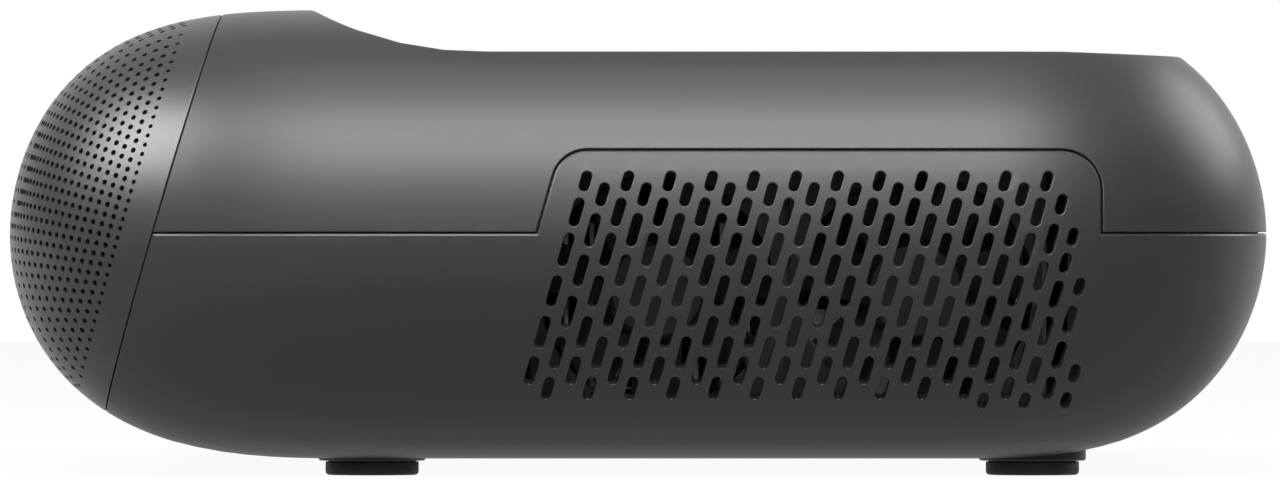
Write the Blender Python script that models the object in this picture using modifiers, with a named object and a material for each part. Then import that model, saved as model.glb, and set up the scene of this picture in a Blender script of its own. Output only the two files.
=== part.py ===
"""Ultra short throw laser projector as an assembly of separate pieces.

Metres, +Z up. The speaker grille faces -Y, the sockets face +Y, and X runs across the width.
The origin is on the floor below the centre of the body. Every horizontal slice of the body is a
rectangle with round corners that grows and shrinks with height, so all four sides are rounded.
"""

import math

import bmesh
import bpy
from mathutils import Matrix, Vector

MM = 0.001

# clearances shared by the whole assembly
CLEAR = 0.3 * MM
OVERRUN = 20 * MM
WELD = 0.01 * MM

# body
BODY_WIDTH = 606 * MM
BODY_DEPTH = 400 * MM
# one millimetre at this width and depth, for places that follow the body when it grows or shrinks
WIDTH_UNIT = BODY_WIDTH / 606
DEPTH_UNIT = BODY_DEPTH / 400
BODY_TOP = 148.2 * MM
WAIST_HEIGHT = 76.7 * MM
UNDERSIDE_HEIGHT = 5.4 * MM
WALL = 2.5 * MM
SIDE_ROUND = 71 * WIDTH_UNIT
FRONT_ROUND = 110.8 * DEPTH_UNIT
REAR_ROUND = 94.5 * DEPTH_UNIT
# half width share at height share s is (1 - s ** POWER) ** ROOT
SIDE_CURVE_SHARES = {"above": (2.0, 0.5), "below": (2.0, 0.5)}
FRONT_CURVE_SHARES = {"above": (1.917, 0.29), "below": (2.014, 0.334)}
REAR_CURVE_SHARES = {"above": (1.9, 0.337), "below": (1.929, 0.354)}
LEVELS = 8
CORNER_STEPS = 6

# deck and ramp
DECK_HEIGHT = 134.5 * MM
RAMP_RADIUS = 110 * MM
RAMP_STEPS = 6
RAMP_SWEEP = math.radians(33)
DECK_FALL_Y = 134 * DEPTH_UNIT
DECK_END_Y = 172.5 * DEPTH_UNIT
DECK_FALL = 1.3 * MM

# joints between the three outer shells
PARTING_HEIGHT = 77.1 * MM
PARTING_GAP = 0.5 * MM
SEAM_Y = -152.8 * DEPTH_UNIT
RAMP_BEHIND_SEAM = 102.4 * MM
RAMP_FOOT_Y = SEAM_Y + RAMP_BEHIND_SEAM
SEAM_LEAN = math.radians(16.3)
SEAM_GAP = 0.6 * MM

# side vents
TONGUE_TOP = 103.3 * MM
TONGUE_FRONT_Y = -31.7 * DEPTH_UNIT
TONGUE_REAR_Y = 145.6 * DEPTH_UNIT
TONGUE_FRONT_RADIUS = 10.8 * MM
TONGUE_REAR_RADIUS = 12.5 * MM
TONGUE_STEPS = 4
VENT_LEAN = math.radians(15.9)
VENT_LOW = 21.8 * MM
VENT_HIGH = 96.5 * MM
VENT_FIRST_Y = -15.6 * DEPTH_UNIT
VENT_PITCH = 6.58 * MM
VENT_WIDTH = 3.2 * MM
# centre and half length of each slot, as shares of the vent height
EVEN_SLOT_SHARES = (
    (0.959, 0.042), (0.829, 0.059), (0.671, 0.070),
    (0.495, 0.067), (0.323, 0.068), (0.162, 0.059),
)
ODD_SLOT_SHARES = (
    (0.903, 0.049), (0.754, 0.069), (0.583, 0.067),
    (0.409, 0.067), (0.237, 0.068), (0.087, 0.048),
)
LOW_SLOT_SHARES = ((0.034, 0.034),)
LAST_SLOT_SHARES = (
    ((0.862, 0.042), (0.716, 0.063), (0.560, 0.063), (0.386, 0.063), (0.225, 0.063), (0.087, 0.048)),
    ((0.724, 0.038), (0.615, 0.042), (0.481, 0.059), (0.326, 0.063), (0.162, 0.059), (0.034, 0.034)),
    ((0.514, 0.038), (0.376, 0.059), (0.225, 0.059), (0.087, 0.048)),
    ((0.149, 0.038), (0.034, 0.034)),
)
FULL_SLOT_COLUMNS = 23

# feet
FOOT_X = 215 * WIDTH_UNIT
FOOT_FRONT_Y = -85 * DEPTH_UNIT
FOOT_REAR_Y = 126 * DEPTH_UNIT
FOOT_RADIUS = 14.9 * MM
FOOT_HEIGHT = 4.3 * MM
FOOT_EDGE = 0.7 * MM
FOOT_STEM_RADIUS = 6 * MM
FOOT_STEM_TOP = 16 * MM
COLLAR_RADIUS = 17.1 * MM
COLLAR_BUSH_RADIUS = 9 * MM
ROUND_SEGMENTS = 20

# control strip on the raised front
STRIP_HALF_LENGTH = 110 * MM
STRIP_DEPTH = 18.9 * MM
STRIP_BEHIND_SEAM = 34.75 * MM
STRIP_MIDDLE_Y = SEAM_Y + STRIP_BEHIND_SEAM
STRIP_FRONT_Y = STRIP_MIDDLE_Y - STRIP_DEPTH / 2
STRIP_REAR_Y = STRIP_MIDDLE_Y + STRIP_DEPTH / 2
STRIP_PROUD = 0.3 * MM
STRIP_FLOOR = 146.6 * MM
BUTTON_RADIUS = 4.5 * MM
BUTTON_TOP = 148.2 * MM
BUTTON_LENGTH = 5.6 * MM
BUTTON_PITCH = 24 * MM
BUTTON_GAP = 0.8 * MM
BUTTON_NAMES = ("source_button", "volume_down_button", "volume_up_button", "power_button")
KEY_BOARD_HALF = 62 * MM
KEY_BOARD_DEPTH = 14 * MM
KEY_BOARD_THICKNESS = 1.6 * MM
KEY_POST_RADIUS = 3 * MM
KEY_POST_X = 52 * MM

# projection window
WINDOW_HALF_WIDTH = 85 * MM
WINDOW_BEHIND_RAMP = 10.4 * MM
WINDOW_DEPTH = 75 * MM
WINDOW_FRONT_Y = RAMP_FOOT_Y + WINDOW_BEHIND_RAMP
WINDOW_REAR_Y = WINDOW_FRONT_Y + WINDOW_DEPTH
BEZEL_HEIGHT = 4.5 * MM
BEZEL_RIM = 7 * MM
BEZEL_LEDGE = 3.5 * MM
GLASS_THICKNESS = 2 * MM

# socket tray in the rounded rear
TRAY_HALF_WIDTH = 150 * WIDTH_UNIT
# one millimetre at this tray width, for the sockets' places across it
TRAY_UNIT = TRAY_HALF_WIDTH / 150
TRAY_LOW = 26 * MM
TRAY_HIGH = 70 * MM
TRAY_WALL = 2 * MM
TRAY_PANEL_Y = 165 * DEPTH_UNIT
SOCKET_LENGTH = 15.4 * MM
TRAY_PANEL_THICKNESS = 2.5 * MM
TRAY_BOSS_X = 138 * TRAY_UNIT
TRAY_BOSS_RADIUS = 3 * MM
SOCKET_HEIGHT = 44 * MM
SOCKET_PROUD = 0.3 * MM
BOARD_REAR_Y = TRAY_PANEL_Y - SOCKET_LENGTH
BOARD_THICKNESS = 1.6 * MM
BOARD_HALF_WIDTH = 144 * TRAY_UNIT
BOARD_LOW = 24 * MM
BOARD_HIGH = 74 * MM

# sockets: outer width and height, mouth, and tongues as offset and size
VIDEO_SIZE = (15 * MM, 6 * MM)
VIDEO_MOUTH = (14 * MM, 4.6 * MM)
VIDEO_TONGUE = (0, 0, 11.8 * MM, 1.4 * MM)
VIDEO_PLACES = (-60 * TRAY_UNIT, -34 * TRAY_UNIT, -8 * TRAY_UNIT)
DATA_SIZE = (13.8 * MM, 6.4 * MM)
DATA_MOUTH = (12.6 * MM, 5 * MM)
DATA_TONGUE = (0, 1 * MM, 11 * MM, 1.8 * MM)
DATA_PLACES = (18 * TRAY_UNIT, 42 * TRAY_UNIT)
SOCKET_DEPTH = 10 * MM
NETWORK_SIZE = (16 * MM, 13.4 * MM)
NETWORK_MOUTH = (11.8 * MM, 8.4 * MM)
NETWORK_X = 70 * TRAY_UNIT
NETWORK_DEPTH = 13 * MM
AUDIO_X = 96 * TRAY_UNIT
AUDIO_RADIUS = 4.5 * MM
AUDIO_BORE_RADIUS = 1.8 * MM
INLET_SIZE = (28 * MM, 21 * MM)
INLET_MOUTH = (24.6 * MM, 17 * MM)
INLET_X = -112 * TRAY_UNIT
INLET_DEPTH = 13 * MM
INLET_PINS = (
    (-7 * MM, -2.5 * MM, 2 * MM, 4 * MM),
    (7 * MM, -2.5 * MM, 2 * MM, 4 * MM),
    (0, 2.5 * MM, 2 * MM, 4 * MM),
)

# chassis
CHASSIS_HALF_WIDTH = 230 * WIDTH_UNIT
CHASSIS_FRONT_Y = -76 * DEPTH_UNIT
CHASSIS_REAR_Y = 100 * DEPTH_UNIT
CHASSIS_SHEET = 2 * MM
FLANGE_TOP = 102 * MM
FLANGE_MARGIN = 2 * MM
FLANGE_OVERLAP_SHARE = 0.6

# fans
FAN_SIZE = 80 * MM
FAN_DEPTH = 25 * MM
FAN_BORE_RADIUS = 37.5 * MM
FAN_HUB_RADIUS = 16 * MM
FAN_HUB_DEPTH = 18 * MM
FAN_BASE_DEPTH = 3 * MM
FAN_BLADES = 7
FAN_BLADE_RADIUS = 35.5 * MM
FAN_BLADE_THICKNESS = 1.4 * MM
FAN_BLADE_PITCH = math.radians(38)
FAN_BLADE_CHORD = 19 * MM
FAN_STRUT_WIDTH = 4 * MM
FAN_STRUTS = 3
STRUT_TURN_SHARE = 0.25
STRUT_DEPTH_SHARE = 0.8
HUB_EDGE_SHARE = 0.9
BLADE_ROOT_SHARE = 0.85
FAN_HEIGHT = 59 * MM
FAN_PAIR_Y = 47 * DEPTH_UNIT
FAN_PITCH = FAN_SIZE + FLANGE_MARGIN
FAN_PLACES_Y = (FAN_PAIR_Y - FAN_PITCH / 2, FAN_PAIR_Y + FAN_PITCH / 2)
FLANGE_FRONT_Y = FAN_PLACES_Y[0] - FAN_SIZE / 2 - FLANGE_MARGIN
FLANGE_REAR_Y = FAN_PLACES_Y[1] + FAN_SIZE / 2 + FLANGE_MARGIN

# heat sinks and power supply beside the light engine
SINK_INNER_X = 112 * WIDTH_UNIT
SINK_OUTER_X = 222 * WIDTH_UNIT
SINK_HALF_DEPTH = 38 * MM
SINK_HEIGHT = 70 * MM
SINK_BASE = 4 * MM
SINK_FINS = 10
SINK_FIN_THICKNESS = 1.4 * MM
SUPPLY_FRONT_Y = 52 * DEPTH_UNIT
SUPPLY_REAR_Y = 98 * DEPTH_UNIT
SUPPLY_INNER_X = 92 * WIDTH_UNIT
SUPPLY_HEIGHT = 44 * MM
CASE_EDGE = 1.5 * MM

# light engine
ENGINE_HALF_WIDTH = 75 * WIDTH_UNIT
ENGINE_FRONT_Y = 5 * DEPTH_UNIT
ENGINE_REAR_Y = 70 * DEPTH_UNIT
ENGINE_HEIGHT = 84 * MM
LASER_HALF_WIDTH = 60 * WIDTH_UNIT
LASER_REAR_Y = 98 * DEPTH_UNIT
LASER_HEIGHT = 68 * MM
WHEEL_Y = 38 * DEPTH_UNIT
WHEEL_HEIGHT = 56 * MM
WHEEL_RADIUS = 30 * MM
WHEEL_THICKNESS = 2 * MM
WHEEL_MOTOR_RADIUS = 12 * MM
WHEEL_MOTOR_LENGTH = 16 * MM

# projection lens and focus drive
LENS_HEIGHT = 62 * MM
LENS_RADIUS = 24 * MM
LENS_FRONT_Y = -45 * DEPTH_UNIT
LENS_BORE_RADIUS = 20 * MM
LENS_BORE_DEPTH = 12 * MM
RING_RADIUS = 29 * MM
RING_FRONT_Y = -30 * DEPTH_UNIT
RING_REAR_Y = -18 * DEPTH_UNIT
PINION_RADIUS = 6 * MM
FOCUS_MOTOR_RADIUS = 8 * MM

# curved mirror under the raised front
MIRROR_Y = -80 * DEPTH_UNIT
MIRROR_HEIGHT = 74 * MM
MIRROR_TILT = math.radians(17.5)
MIRROR_HALF_WIDTH = 48 * MM
MIRROR_HALF_HEIGHT = 34 * MM
MIRROR_THICKNESS = 12 * MM
MIRROR_RADIUS = 170 * MM
MIRROR_SAG = 8 * MM
BRACKET_THICKNESS = 3 * MM
BRACKET_REACH = 66 * MM
BRACKET_FOOT_DEPTH = 24 * MM

# speakers on the leaning baffle behind the grille
BAFFLE_SETBACK = 2 * MM
BAFFLE_THICKNESS = 5 * MM
DRIVER_HEIGHT = 77 * MM
WOOFER_X = 140 * WIDTH_UNIT
WOOFER_RADIUS = 36 * MM
WOOFER_RIM = 4 * MM
WOOFER_DEPTH = 34 * MM
MAGNET_RADIUS = 22 * MM
BASKET_WALL = 1.6 * MM
CONE_THICKNESS = 1.2 * MM
CONE_DEPTH = 12 * MM
CONE_CAP_SHARE = 0.35
CAP_TOP_SHARE = 0.6
CAP_RIM_SHARE = 0.75
BASKET_SHOULDER_SHARE = 0.6
BASKET_FLOOR_SHARE = 0.5
TWEETER_X = 215 * WIDTH_UNIT
TWEETER_RADIUS = 17 * MM
TWEETER_DEPTH = 14 * MM
DOME_RADIUS = 9 * MM
DOME_SHOULDER_SHARE = 0.6
DOME_HEIGHT_SHARE = 0.8
DRIVER_RIM_THICKNESS = 3 * MM

# colours, roughness and metallic values
FINISHES = {
    "shell_grey": ((0.055, 0.055, 0.057), 0.42, 0.25),
    "grille_grey": ((0.060, 0.060, 0.062), 0.40, 0.45),
    "strip_black": ((0.012, 0.012, 0.013), 0.20, 0.0),
    "button_grey": ((0.030, 0.030, 0.032), 0.35, 0.0),
    "black_plastic": ((0.015, 0.015, 0.016), 0.55, 0.0),
    "rubber_black": ((0.010, 0.010, 0.010), 0.80, 0.0),
    "window_glass": ((0.02, 0.025, 0.03), 0.05, 0.0),
    "socket_metal": ((0.55, 0.55, 0.56), 0.30, 1.0),
    "socket_plastic": ((0.02, 0.02, 0.02), 0.50, 0.0),
    "board_green": ((0.02, 0.09, 0.05), 0.45, 0.0),
    "sheet_steel": ((0.50, 0.50, 0.51), 0.40, 1.0),
    "cast_alloy": ((0.40, 0.40, 0.41), 0.50, 1.0),
    "fin_alloy": ((0.62, 0.62, 0.63), 0.35, 1.0),
    "fan_black": ((0.020, 0.020, 0.022), 0.50, 0.0),
    "lens_black": ((0.015, 0.015, 0.016), 0.30, 0.0),
    "mirror_coat": ((0.85, 0.86, 0.88), 0.03, 1.0),
    "cone_black": ((0.02, 0.02, 0.02), 0.70, 0.0),
}


def clear_scene():
    for item in list(bpy.data.objects):
        bpy.data.objects.remove(item, do_unlink=True)


def new_collection(name):
    group = bpy.data.collections.new(name)
    bpy.context.scene.collection.children.link(group)
    return group


def make_finishes():
    for name, (colour, roughness, metallic) in FINISHES.items():
        finish = bpy.data.materials.new(name)
        finish.use_nodes = True
        shader = finish.node_tree.nodes["Principled BSDF"]
        shader.inputs["Base Color"].default_value = (*colour, 1)
        shader.inputs["Roughness"].default_value = roughness
        shader.inputs["Metallic"].default_value = metallic


def add_object(name, mesh, group, finish=None):
    item = bpy.data.objects.new(name, mesh)
    group.objects.link(item)
    if finish:
        mesh.materials.append(bpy.data.materials[finish])
    return item


def add_part(name, mesh, finish):
    return add_object(name, mesh, PARTS, finish)


def add_cutter(name, mesh):
    item = add_object(name, mesh, CUTTERS)
    item.hide_render = True
    item.display_type = "WIRE"
    return item


def mesh_from(bm, name):
    mesh = bpy.data.meshes.new(name)
    bm.to_mesh(mesh)
    bm.free()
    return mesh


def boolean(item, operand, operation):
    modifier = item.modifiers.new(operand.name, "BOOLEAN")
    modifier.operation = operation
    modifier.solver = "EXACT"
    modifier.object = operand


def cut(item, *operands):
    for operand in operands:
        boolean(item, operand, "DIFFERENCE")


def join(item, *operands):
    for operand in operands:
        boolean(item, operand, "UNION")


def keep_inside(item, operand):
    boolean(item, operand, "INTERSECT")


def bevel(item, width, segments=1):
    modifier = item.modifiers.new("edges", "BEVEL")
    modifier.width = width
    modifier.segments = segments
    modifier.limit_method = "ANGLE"


def bake(item):
    """Replace a helper's modifiers with their result, so that later cuts read a plain mesh."""
    bpy.context.view_layer.update()
    graph = bpy.context.evaluated_depsgraph_get()
    mesh = bpy.data.meshes.new_from_object(item.evaluated_get(graph))
    item.modifiers.clear()
    item.data = mesh


def box_mesh(name, low, high):
    low, high = Vector(low), Vector(high)
    bm = bmesh.new()
    bmesh.ops.create_cube(bm, size=1)
    size = high - low
    bmesh.ops.scale(bm, vec=size, verts=bm.verts)
    bmesh.ops.translate(bm, vec=(low + high) / 2, verts=bm.verts)
    return mesh_from(bm, name)


def axis_turn(axis):
    """Rotation that takes +Z to the given direction."""
    return Vector((0, 0, 1)).rotation_difference(Vector(axis)).to_matrix().to_4x4()


def cylinder_mesh(name, radius, start, end, segments=ROUND_SEGMENTS):
    start, end = Vector(start), Vector(end)
    bm = bmesh.new()
    place = Matrix.Translation((start + end) / 2) @ axis_turn((end - start).normalized())
    bmesh.ops.create_cone(
        bm, cap_ends=True, segments=segments, radius1=radius, radius2=radius,
        depth=(end - start).length, matrix=place,
    )
    return mesh_from(bm, name)


def shade_round(item):
    item.data.shade_smooth()
    item.data.set_sharp_from_angle(angle=math.radians(35))


def prism_mesh(name, outlines, half_width, centre_x=0):
    """Flat outlines in Y and Z, drawn as a filled curve and extruded along X both ways."""
    curve = bpy.data.curves.new(name, "CURVE")
    curve.dimensions = "2D"
    curve.fill_mode = "BOTH"
    curve.extrude = half_width
    for outline in outlines:
        spline = curve.splines.new("POLY")
        spline.points.add(len(outline) - 1)
        for point, (y, z) in zip(spline.points, outline):
            point.co = (y, z, 0, 1)
        spline.use_cyclic_u = True
    item = bpy.data.objects.new(name, curve)
    bpy.context.scene.collection.objects.link(item)
    bpy.context.view_layer.update()
    graph = bpy.context.evaluated_depsgraph_get()
    mesh = bpy.data.meshes.new_from_object(item.evaluated_get(graph))
    bpy.data.objects.remove(item, do_unlink=True)
    bpy.data.curves.remove(curve)
    bm = bmesh.new()
    bm.from_mesh(mesh)
    bpy.data.meshes.remove(mesh)
    bmesh.ops.remove_doubles(bm, verts=bm.verts, dist=WELD)
    stand_up = Matrix(((0, 0, 1, centre_x), (1, 0, 0, 0), (0, 1, 0, 0), (0, 0, 0, 1)))
    bm.transform(stand_up)
    bmesh.ops.recalc_face_normals(bm, faces=bm.faces)
    return mesh_from(bm, name)


def turned(name, profile, place, finish, segments=ROUND_SEGMENTS):
    """A profile of (radius, height) pairs, listed top to bottom on the outside, turned about Z."""
    bm = bmesh.new()
    points = [bm.verts.new((radius, 0, height)) for radius, height in profile]
    for first, second in zip(points, points[1:]):
        bm.edges.new((first, second))
    item = add_part(name, mesh_from(bm, name), finish)
    screw = item.modifiers.new("turn", "SCREW")
    screw.steps = segments
    screw.render_steps = segments
    screw.use_merge_vertices = True
    screw.merge_threshold = WELD
    screw.use_smooth_shade = True
    item.matrix_world = place
    return item


# body surface

def height_shares():
    steps = [math.sin(math.pi / 2 * (step / LEVELS)) for step in range(LEVELS + 1)]
    return [-share for share in reversed(steps)] + steps[1:]


def width_share(curve, share):
    power, root = curve["above" if share > 0 else "below"]
    return max(0, 1 - abs(share) ** power) ** root


def body_slice(share, inset):
    """Points of one horizontal slice, counter-clockwise from above."""
    side = width_share(SIDE_CURVE_SHARES, share) * (SIDE_ROUND - inset)
    front = width_share(FRONT_CURVE_SHARES, share) * (FRONT_ROUND - inset)
    rear = width_share(REAR_CURVE_SHARES, share) * (REAR_ROUND - inset)
    corner_x = BODY_WIDTH / 2 - SIDE_ROUND
    front_y = FRONT_ROUND - BODY_DEPTH / 2
    rear_y = BODY_DEPTH / 2 - REAR_ROUND
    corners = (
        (corner_x, rear_y, rear, 0), (-corner_x, rear_y, rear, 1),
        (-corner_x, front_y, front, 2), (corner_x, front_y, front, 3),
    )
    reach = BODY_TOP - WAIST_HEIGHT if share > 0 else WAIST_HEIGHT - UNDERSIDE_HEIGHT
    height = WAIST_HEIGHT + share * (reach - inset)
    points = []
    for x, y, depth, quarter in corners:
        for step in range(CORNER_STEPS + 1):
            turn = math.pi / 2 * (quarter + step / CORNER_STEPS)
            points.append((x + side * math.cos(turn), y + depth * math.sin(turn), height))
    return points


def body_mesh(name, inset):
    """Loft through the slices, from the flat underside to the flat top."""
    bm = bmesh.new()
    rings = [[bm.verts.new(p) for p in body_slice(share, inset)] for share in height_shares()]
    count = len(rings[0])
    for low, high in zip(rings, rings[1:]):
        for i in range(count):
            j = (i + 1) % count
            bm.faces.new((low[i], low[j], high[j], high[i]))
    bm.faces.new(list(reversed(rings[0])))
    bm.faces.new(rings[-1])
    bmesh.ops.remove_doubles(bm, verts=bm.verts, dist=WELD)
    bmesh.ops.recalc_face_normals(bm, faces=bm.faces)
    return mesh_from(bm, name)


def deck_outline(drop):
    """Space above the deck and the ramp, lowered by drop."""
    radius = RAMP_RADIUS + drop
    centre = DECK_HEIGHT + RAMP_RADIUS
    ceiling = BODY_TOP + OVERRUN
    points = []
    for step in range(RAMP_STEPS, -1, -1):
        turn = RAMP_SWEEP * step / RAMP_STEPS
        points.append((RAMP_FOOT_Y - radius * math.sin(turn), centre - radius * math.cos(turn)))
    fall_slope = DECK_FALL / (DECK_END_Y - DECK_FALL_Y)
    rear_y = BODY_DEPTH / 2 + OVERRUN
    points.append((DECK_FALL_Y, DECK_HEIGHT - drop))
    points.append((rear_y, DECK_HEIGHT - drop - fall_slope * (rear_y - DECK_FALL_Y)))
    points.append((rear_y, ceiling))
    points.append((points[0][0], ceiling))
    return points


def body_solid(name, inset):
    solid = add_cutter(name, body_mesh(name, inset))
    space = prism_mesh(name + "_deck", [deck_outline(inset)], BODY_WIDTH / 2 + OVERRUN)
    cut(solid, add_cutter(name + "_deck", space))
    bake(solid)
    return solid


def seam_y(height, setback=0):
    """Y of the leaning seam plane at a height, moved back square to the plane."""
    return SEAM_Y + (height - PARTING_HEIGHT) * math.tan(SEAM_LEAN) + setback / math.cos(SEAM_LEAN)


def tongue_outline(grow):
    """Outline of the lower shell's tongue from its front foot to its rear foot."""
    top = TONGUE_TOP + grow
    front_foot = TONGUE_FRONT_Y - grow
    lean = math.tan(VENT_LEAN)
    rear = TONGUE_REAR_Y + grow
    points = [(front_foot, PARTING_HEIGHT + grow)]
    radius = TONGUE_FRONT_RADIUS + grow
    span = math.pi / 2 - VENT_LEAN
    reach = radius * math.tan(span / 2)
    corner_y = front_foot + (top - PARTING_HEIGHT) * lean
    centre = (corner_y + reach, top - radius)
    for step in range(TONGUE_STEPS + 1):
        turn = math.pi - VENT_LEAN + (math.pi / 2 - math.pi + VENT_LEAN) * step / TONGUE_STEPS
        points.append((centre[0] + radius * math.cos(turn), centre[1] + radius * math.sin(turn)))
    radius = TONGUE_REAR_RADIUS + grow
    for step in range(TONGUE_STEPS + 1):
        turn = math.pi / 2 * (1 - step / TONGUE_STEPS)
        points.append((rear - radius + radius * math.cos(turn), top - radius + radius * math.sin(turn)))
    points.append((rear, PARTING_HEIGHT + grow))
    return points


def lower_outline():
    low = UNDERSIDE_HEIGHT - OVERRUN
    rear = BODY_DEPTH / 2 + OVERRUN
    points = [(seam_y(low, SEAM_GAP / 2), low), (seam_y(PARTING_HEIGHT, SEAM_GAP / 2), PARTING_HEIGHT)]
    points += [(TONGUE_FRONT_Y, PARTING_HEIGHT)] + tongue_outline(0)[1:-1]
    return points + [(TONGUE_REAR_Y, PARTING_HEIGHT), (rear, PARTING_HEIGHT), (rear, low)]


def upper_outline():
    high = BODY_TOP + OVERRUN
    rear = BODY_DEPTH / 2 + OVERRUN
    low = PARTING_HEIGHT + PARTING_GAP
    points = [(seam_y(high, SEAM_GAP / 2), high), (seam_y(low, SEAM_GAP / 2), low)]
    points += tongue_outline(PARTING_GAP)
    return points + [(rear, low), (rear, high)]


def front_outline():
    low, high = UNDERSIDE_HEIGHT - OVERRUN, BODY_TOP + OVERRUN
    front = -BODY_DEPTH / 2 - OVERRUN
    return [(seam_y(low, -SEAM_GAP / 2), low), (seam_y(high, -SEAM_GAP / 2), high), (front, high), (front, low)]


def shell_part(name, outline, finish, solid, cavity):
    part = add_part(name, prism_mesh(name, [outline], BODY_WIDTH / 2 + OVERRUN), finish)
    keep_inside(part, solid)
    cut(part, cavity)
    return part


# side vents

def slot_outline(column, centre_share, half_share):
    """A leaning slot with square ends in the YZ plane."""
    height = VENT_HIGH - VENT_LOW
    middle = VENT_LOW + centre_share * height
    along = Vector((math.sin(VENT_LEAN), math.cos(VENT_LEAN)))
    across = Vector((along.y, -along.x))
    lean = math.tan(VENT_LEAN)
    centre = Vector((VENT_FIRST_Y + column * VENT_PITCH + (middle - VENT_HIGH) * lean, middle))
    tip = half_share * height / math.cos(VENT_LEAN)
    half = VENT_WIDTH / 2
    corners = ((half, tip), (half, -tip), (-half, -tip), (-half, tip))
    return [tuple(centre + across * side + along * reach) for side, reach in corners]


def slot_outlines():
    outlines = []
    for column in range(FULL_SLOT_COLUMNS):
        rows = EVEN_SLOT_SHARES if column % 2 == 0 else ODD_SLOT_SHARES
        if column == FULL_SLOT_COLUMNS - 1:
            rows = rows + LOW_SLOT_SHARES
        outlines += [slot_outline(column, *row) for row in rows]
    for extra, rows in enumerate(LAST_SLOT_SHARES):
        outlines += [slot_outline(FULL_SLOT_COLUMNS + extra, *row) for row in rows]
    return outlines


def make_shells(solid, cavity):
    upper = shell_part("upper_housing", upper_outline(), "shell_grey", solid, cavity)
    lower = shell_part("lower_housing", lower_outline(), "shell_grey", solid, cavity)
    shell_part("speaker_grille", front_outline(), "grille_grey", solid, cavity)
    slots = prism_mesh("vent_slots", slot_outlines(), BODY_WIDTH / 2 + OVERRUN)
    cut(lower, add_cutter("vent_slots", slots))
    return upper, lower


# feet

def foot_places():
    for side, sign in (("left", -1), ("right", 1)):
        yield "front_" + side, sign * FOOT_X, FOOT_FRONT_Y
        yield "rear_" + side, sign * FOOT_X, FOOT_REAR_Y


def make_feet(lower, skin):
    collar_low = FOOT_HEIGHT + CLEAR
    inside = UNDERSIDE_HEIGHT + WALL
    for place, x, y in foot_places():
        collar = add_part("foot_collar_" + place, cylinder_mesh(
            "foot_collar", COLLAR_RADIUS, (x, y, collar_low), (x, y, inside + OVERRUN)), "black_plastic")
        cut(collar, skin)
        bush = cylinder_mesh("bush", COLLAR_BUSH_RADIUS, (x, y, collar_low), (x, y, inside - CLEAR))
        bore = cylinder_mesh("bore", FOOT_STEM_RADIUS + CLEAR, (x, y, -OVERRUN), (x, y, inside + OVERRUN))
        hole = cylinder_mesh("hole", COLLAR_BUSH_RADIUS + CLEAR, (x, y, -OVERRUN), (x, y, inside + OVERRUN))
        join(collar, add_cutter("foot_bush_" + place, bush))
        cut(collar, add_cutter("foot_bore_" + place, bore))
        cut(lower, add_cutter("foot_hole_" + place, hole))
        pad = add_part("foot_pad_" + place, cylinder_mesh(
            "foot_pad", FOOT_RADIUS, (x, y, 0), (x, y, FOOT_HEIGHT)), "rubber_black")
        bevel(pad, FOOT_EDGE)
        stem = cylinder_mesh("stem", FOOT_STEM_RADIUS, (x, y, FOOT_HEIGHT / 2), (x, y, FOOT_STEM_TOP))
        join(pad, add_cutter("foot_stem_" + place, stem))


# control strip

def button_places():
    first = -BUTTON_PITCH * (len(BUTTON_NAMES) - 1) / 2
    return [(name, first + BUTTON_PITCH * i) for i, name in enumerate(BUTTON_NAMES)]


def make_control_strip(upper, raised):
    low, high = STRIP_FLOOR, BODY_TOP + OVERRUN
    strip = add_part("control_strip", box_mesh(
        "control_strip", (-STRIP_HALF_LENGTH, STRIP_FRONT_Y, low),
        (STRIP_HALF_LENGTH, STRIP_REAR_Y, high)), "strip_black")
    keep_inside(strip, raised)
    recess = box_mesh(
        "strip_recess", (-STRIP_HALF_LENGTH - CLEAR, STRIP_FRONT_Y - CLEAR, low - CLEAR),
        (STRIP_HALF_LENGTH + CLEAR, STRIP_REAR_Y + CLEAR, high))
    middle_y = STRIP_MIDDLE_Y
    bottom = BUTTON_TOP - BUTTON_LENGTH
    board_top = bottom - BUTTON_GAP
    for sign in (-1, 1):
        post = cylinder_mesh(
            "post", KEY_POST_RADIUS, (sign * KEY_POST_X, middle_y, board_top + CLEAR),
            (sign * KEY_POST_X, middle_y, STRIP_FLOOR - CLEAR * 2), segments=12)
        join(upper, add_cutter("key_post_%d" % sign, post))
    cut(upper, add_cutter("strip_recess", recess))
    for name, x in button_places():
        add_part(name, cylinder_mesh(
            name, BUTTON_RADIUS, (x, middle_y, bottom), (x, middle_y, BUTTON_TOP)), "button_grey")
        hole = add_cutter(name + "_hole", cylinder_mesh(
            "hole", BUTTON_RADIUS + CLEAR, (x, middle_y, bottom - OVERRUN), (x, middle_y, high)))
        cut(strip, hole)
        cut(upper, hole)
    add_part("key_board", box_mesh(
        "key_board", (-KEY_BOARD_HALF, middle_y - KEY_BOARD_DEPTH / 2, board_top - KEY_BOARD_THICKNESS),
        (KEY_BOARD_HALF, middle_y + KEY_BOARD_DEPTH / 2, board_top)), "board_green")


# projection window

def window_box(name, shrink, low, high):
    return box_mesh(
        name, (shrink - WINDOW_HALF_WIDTH, WINDOW_FRONT_Y + shrink, low),
        (WINDOW_HALF_WIDTH - shrink, WINDOW_REAR_Y - shrink, high))


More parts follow.
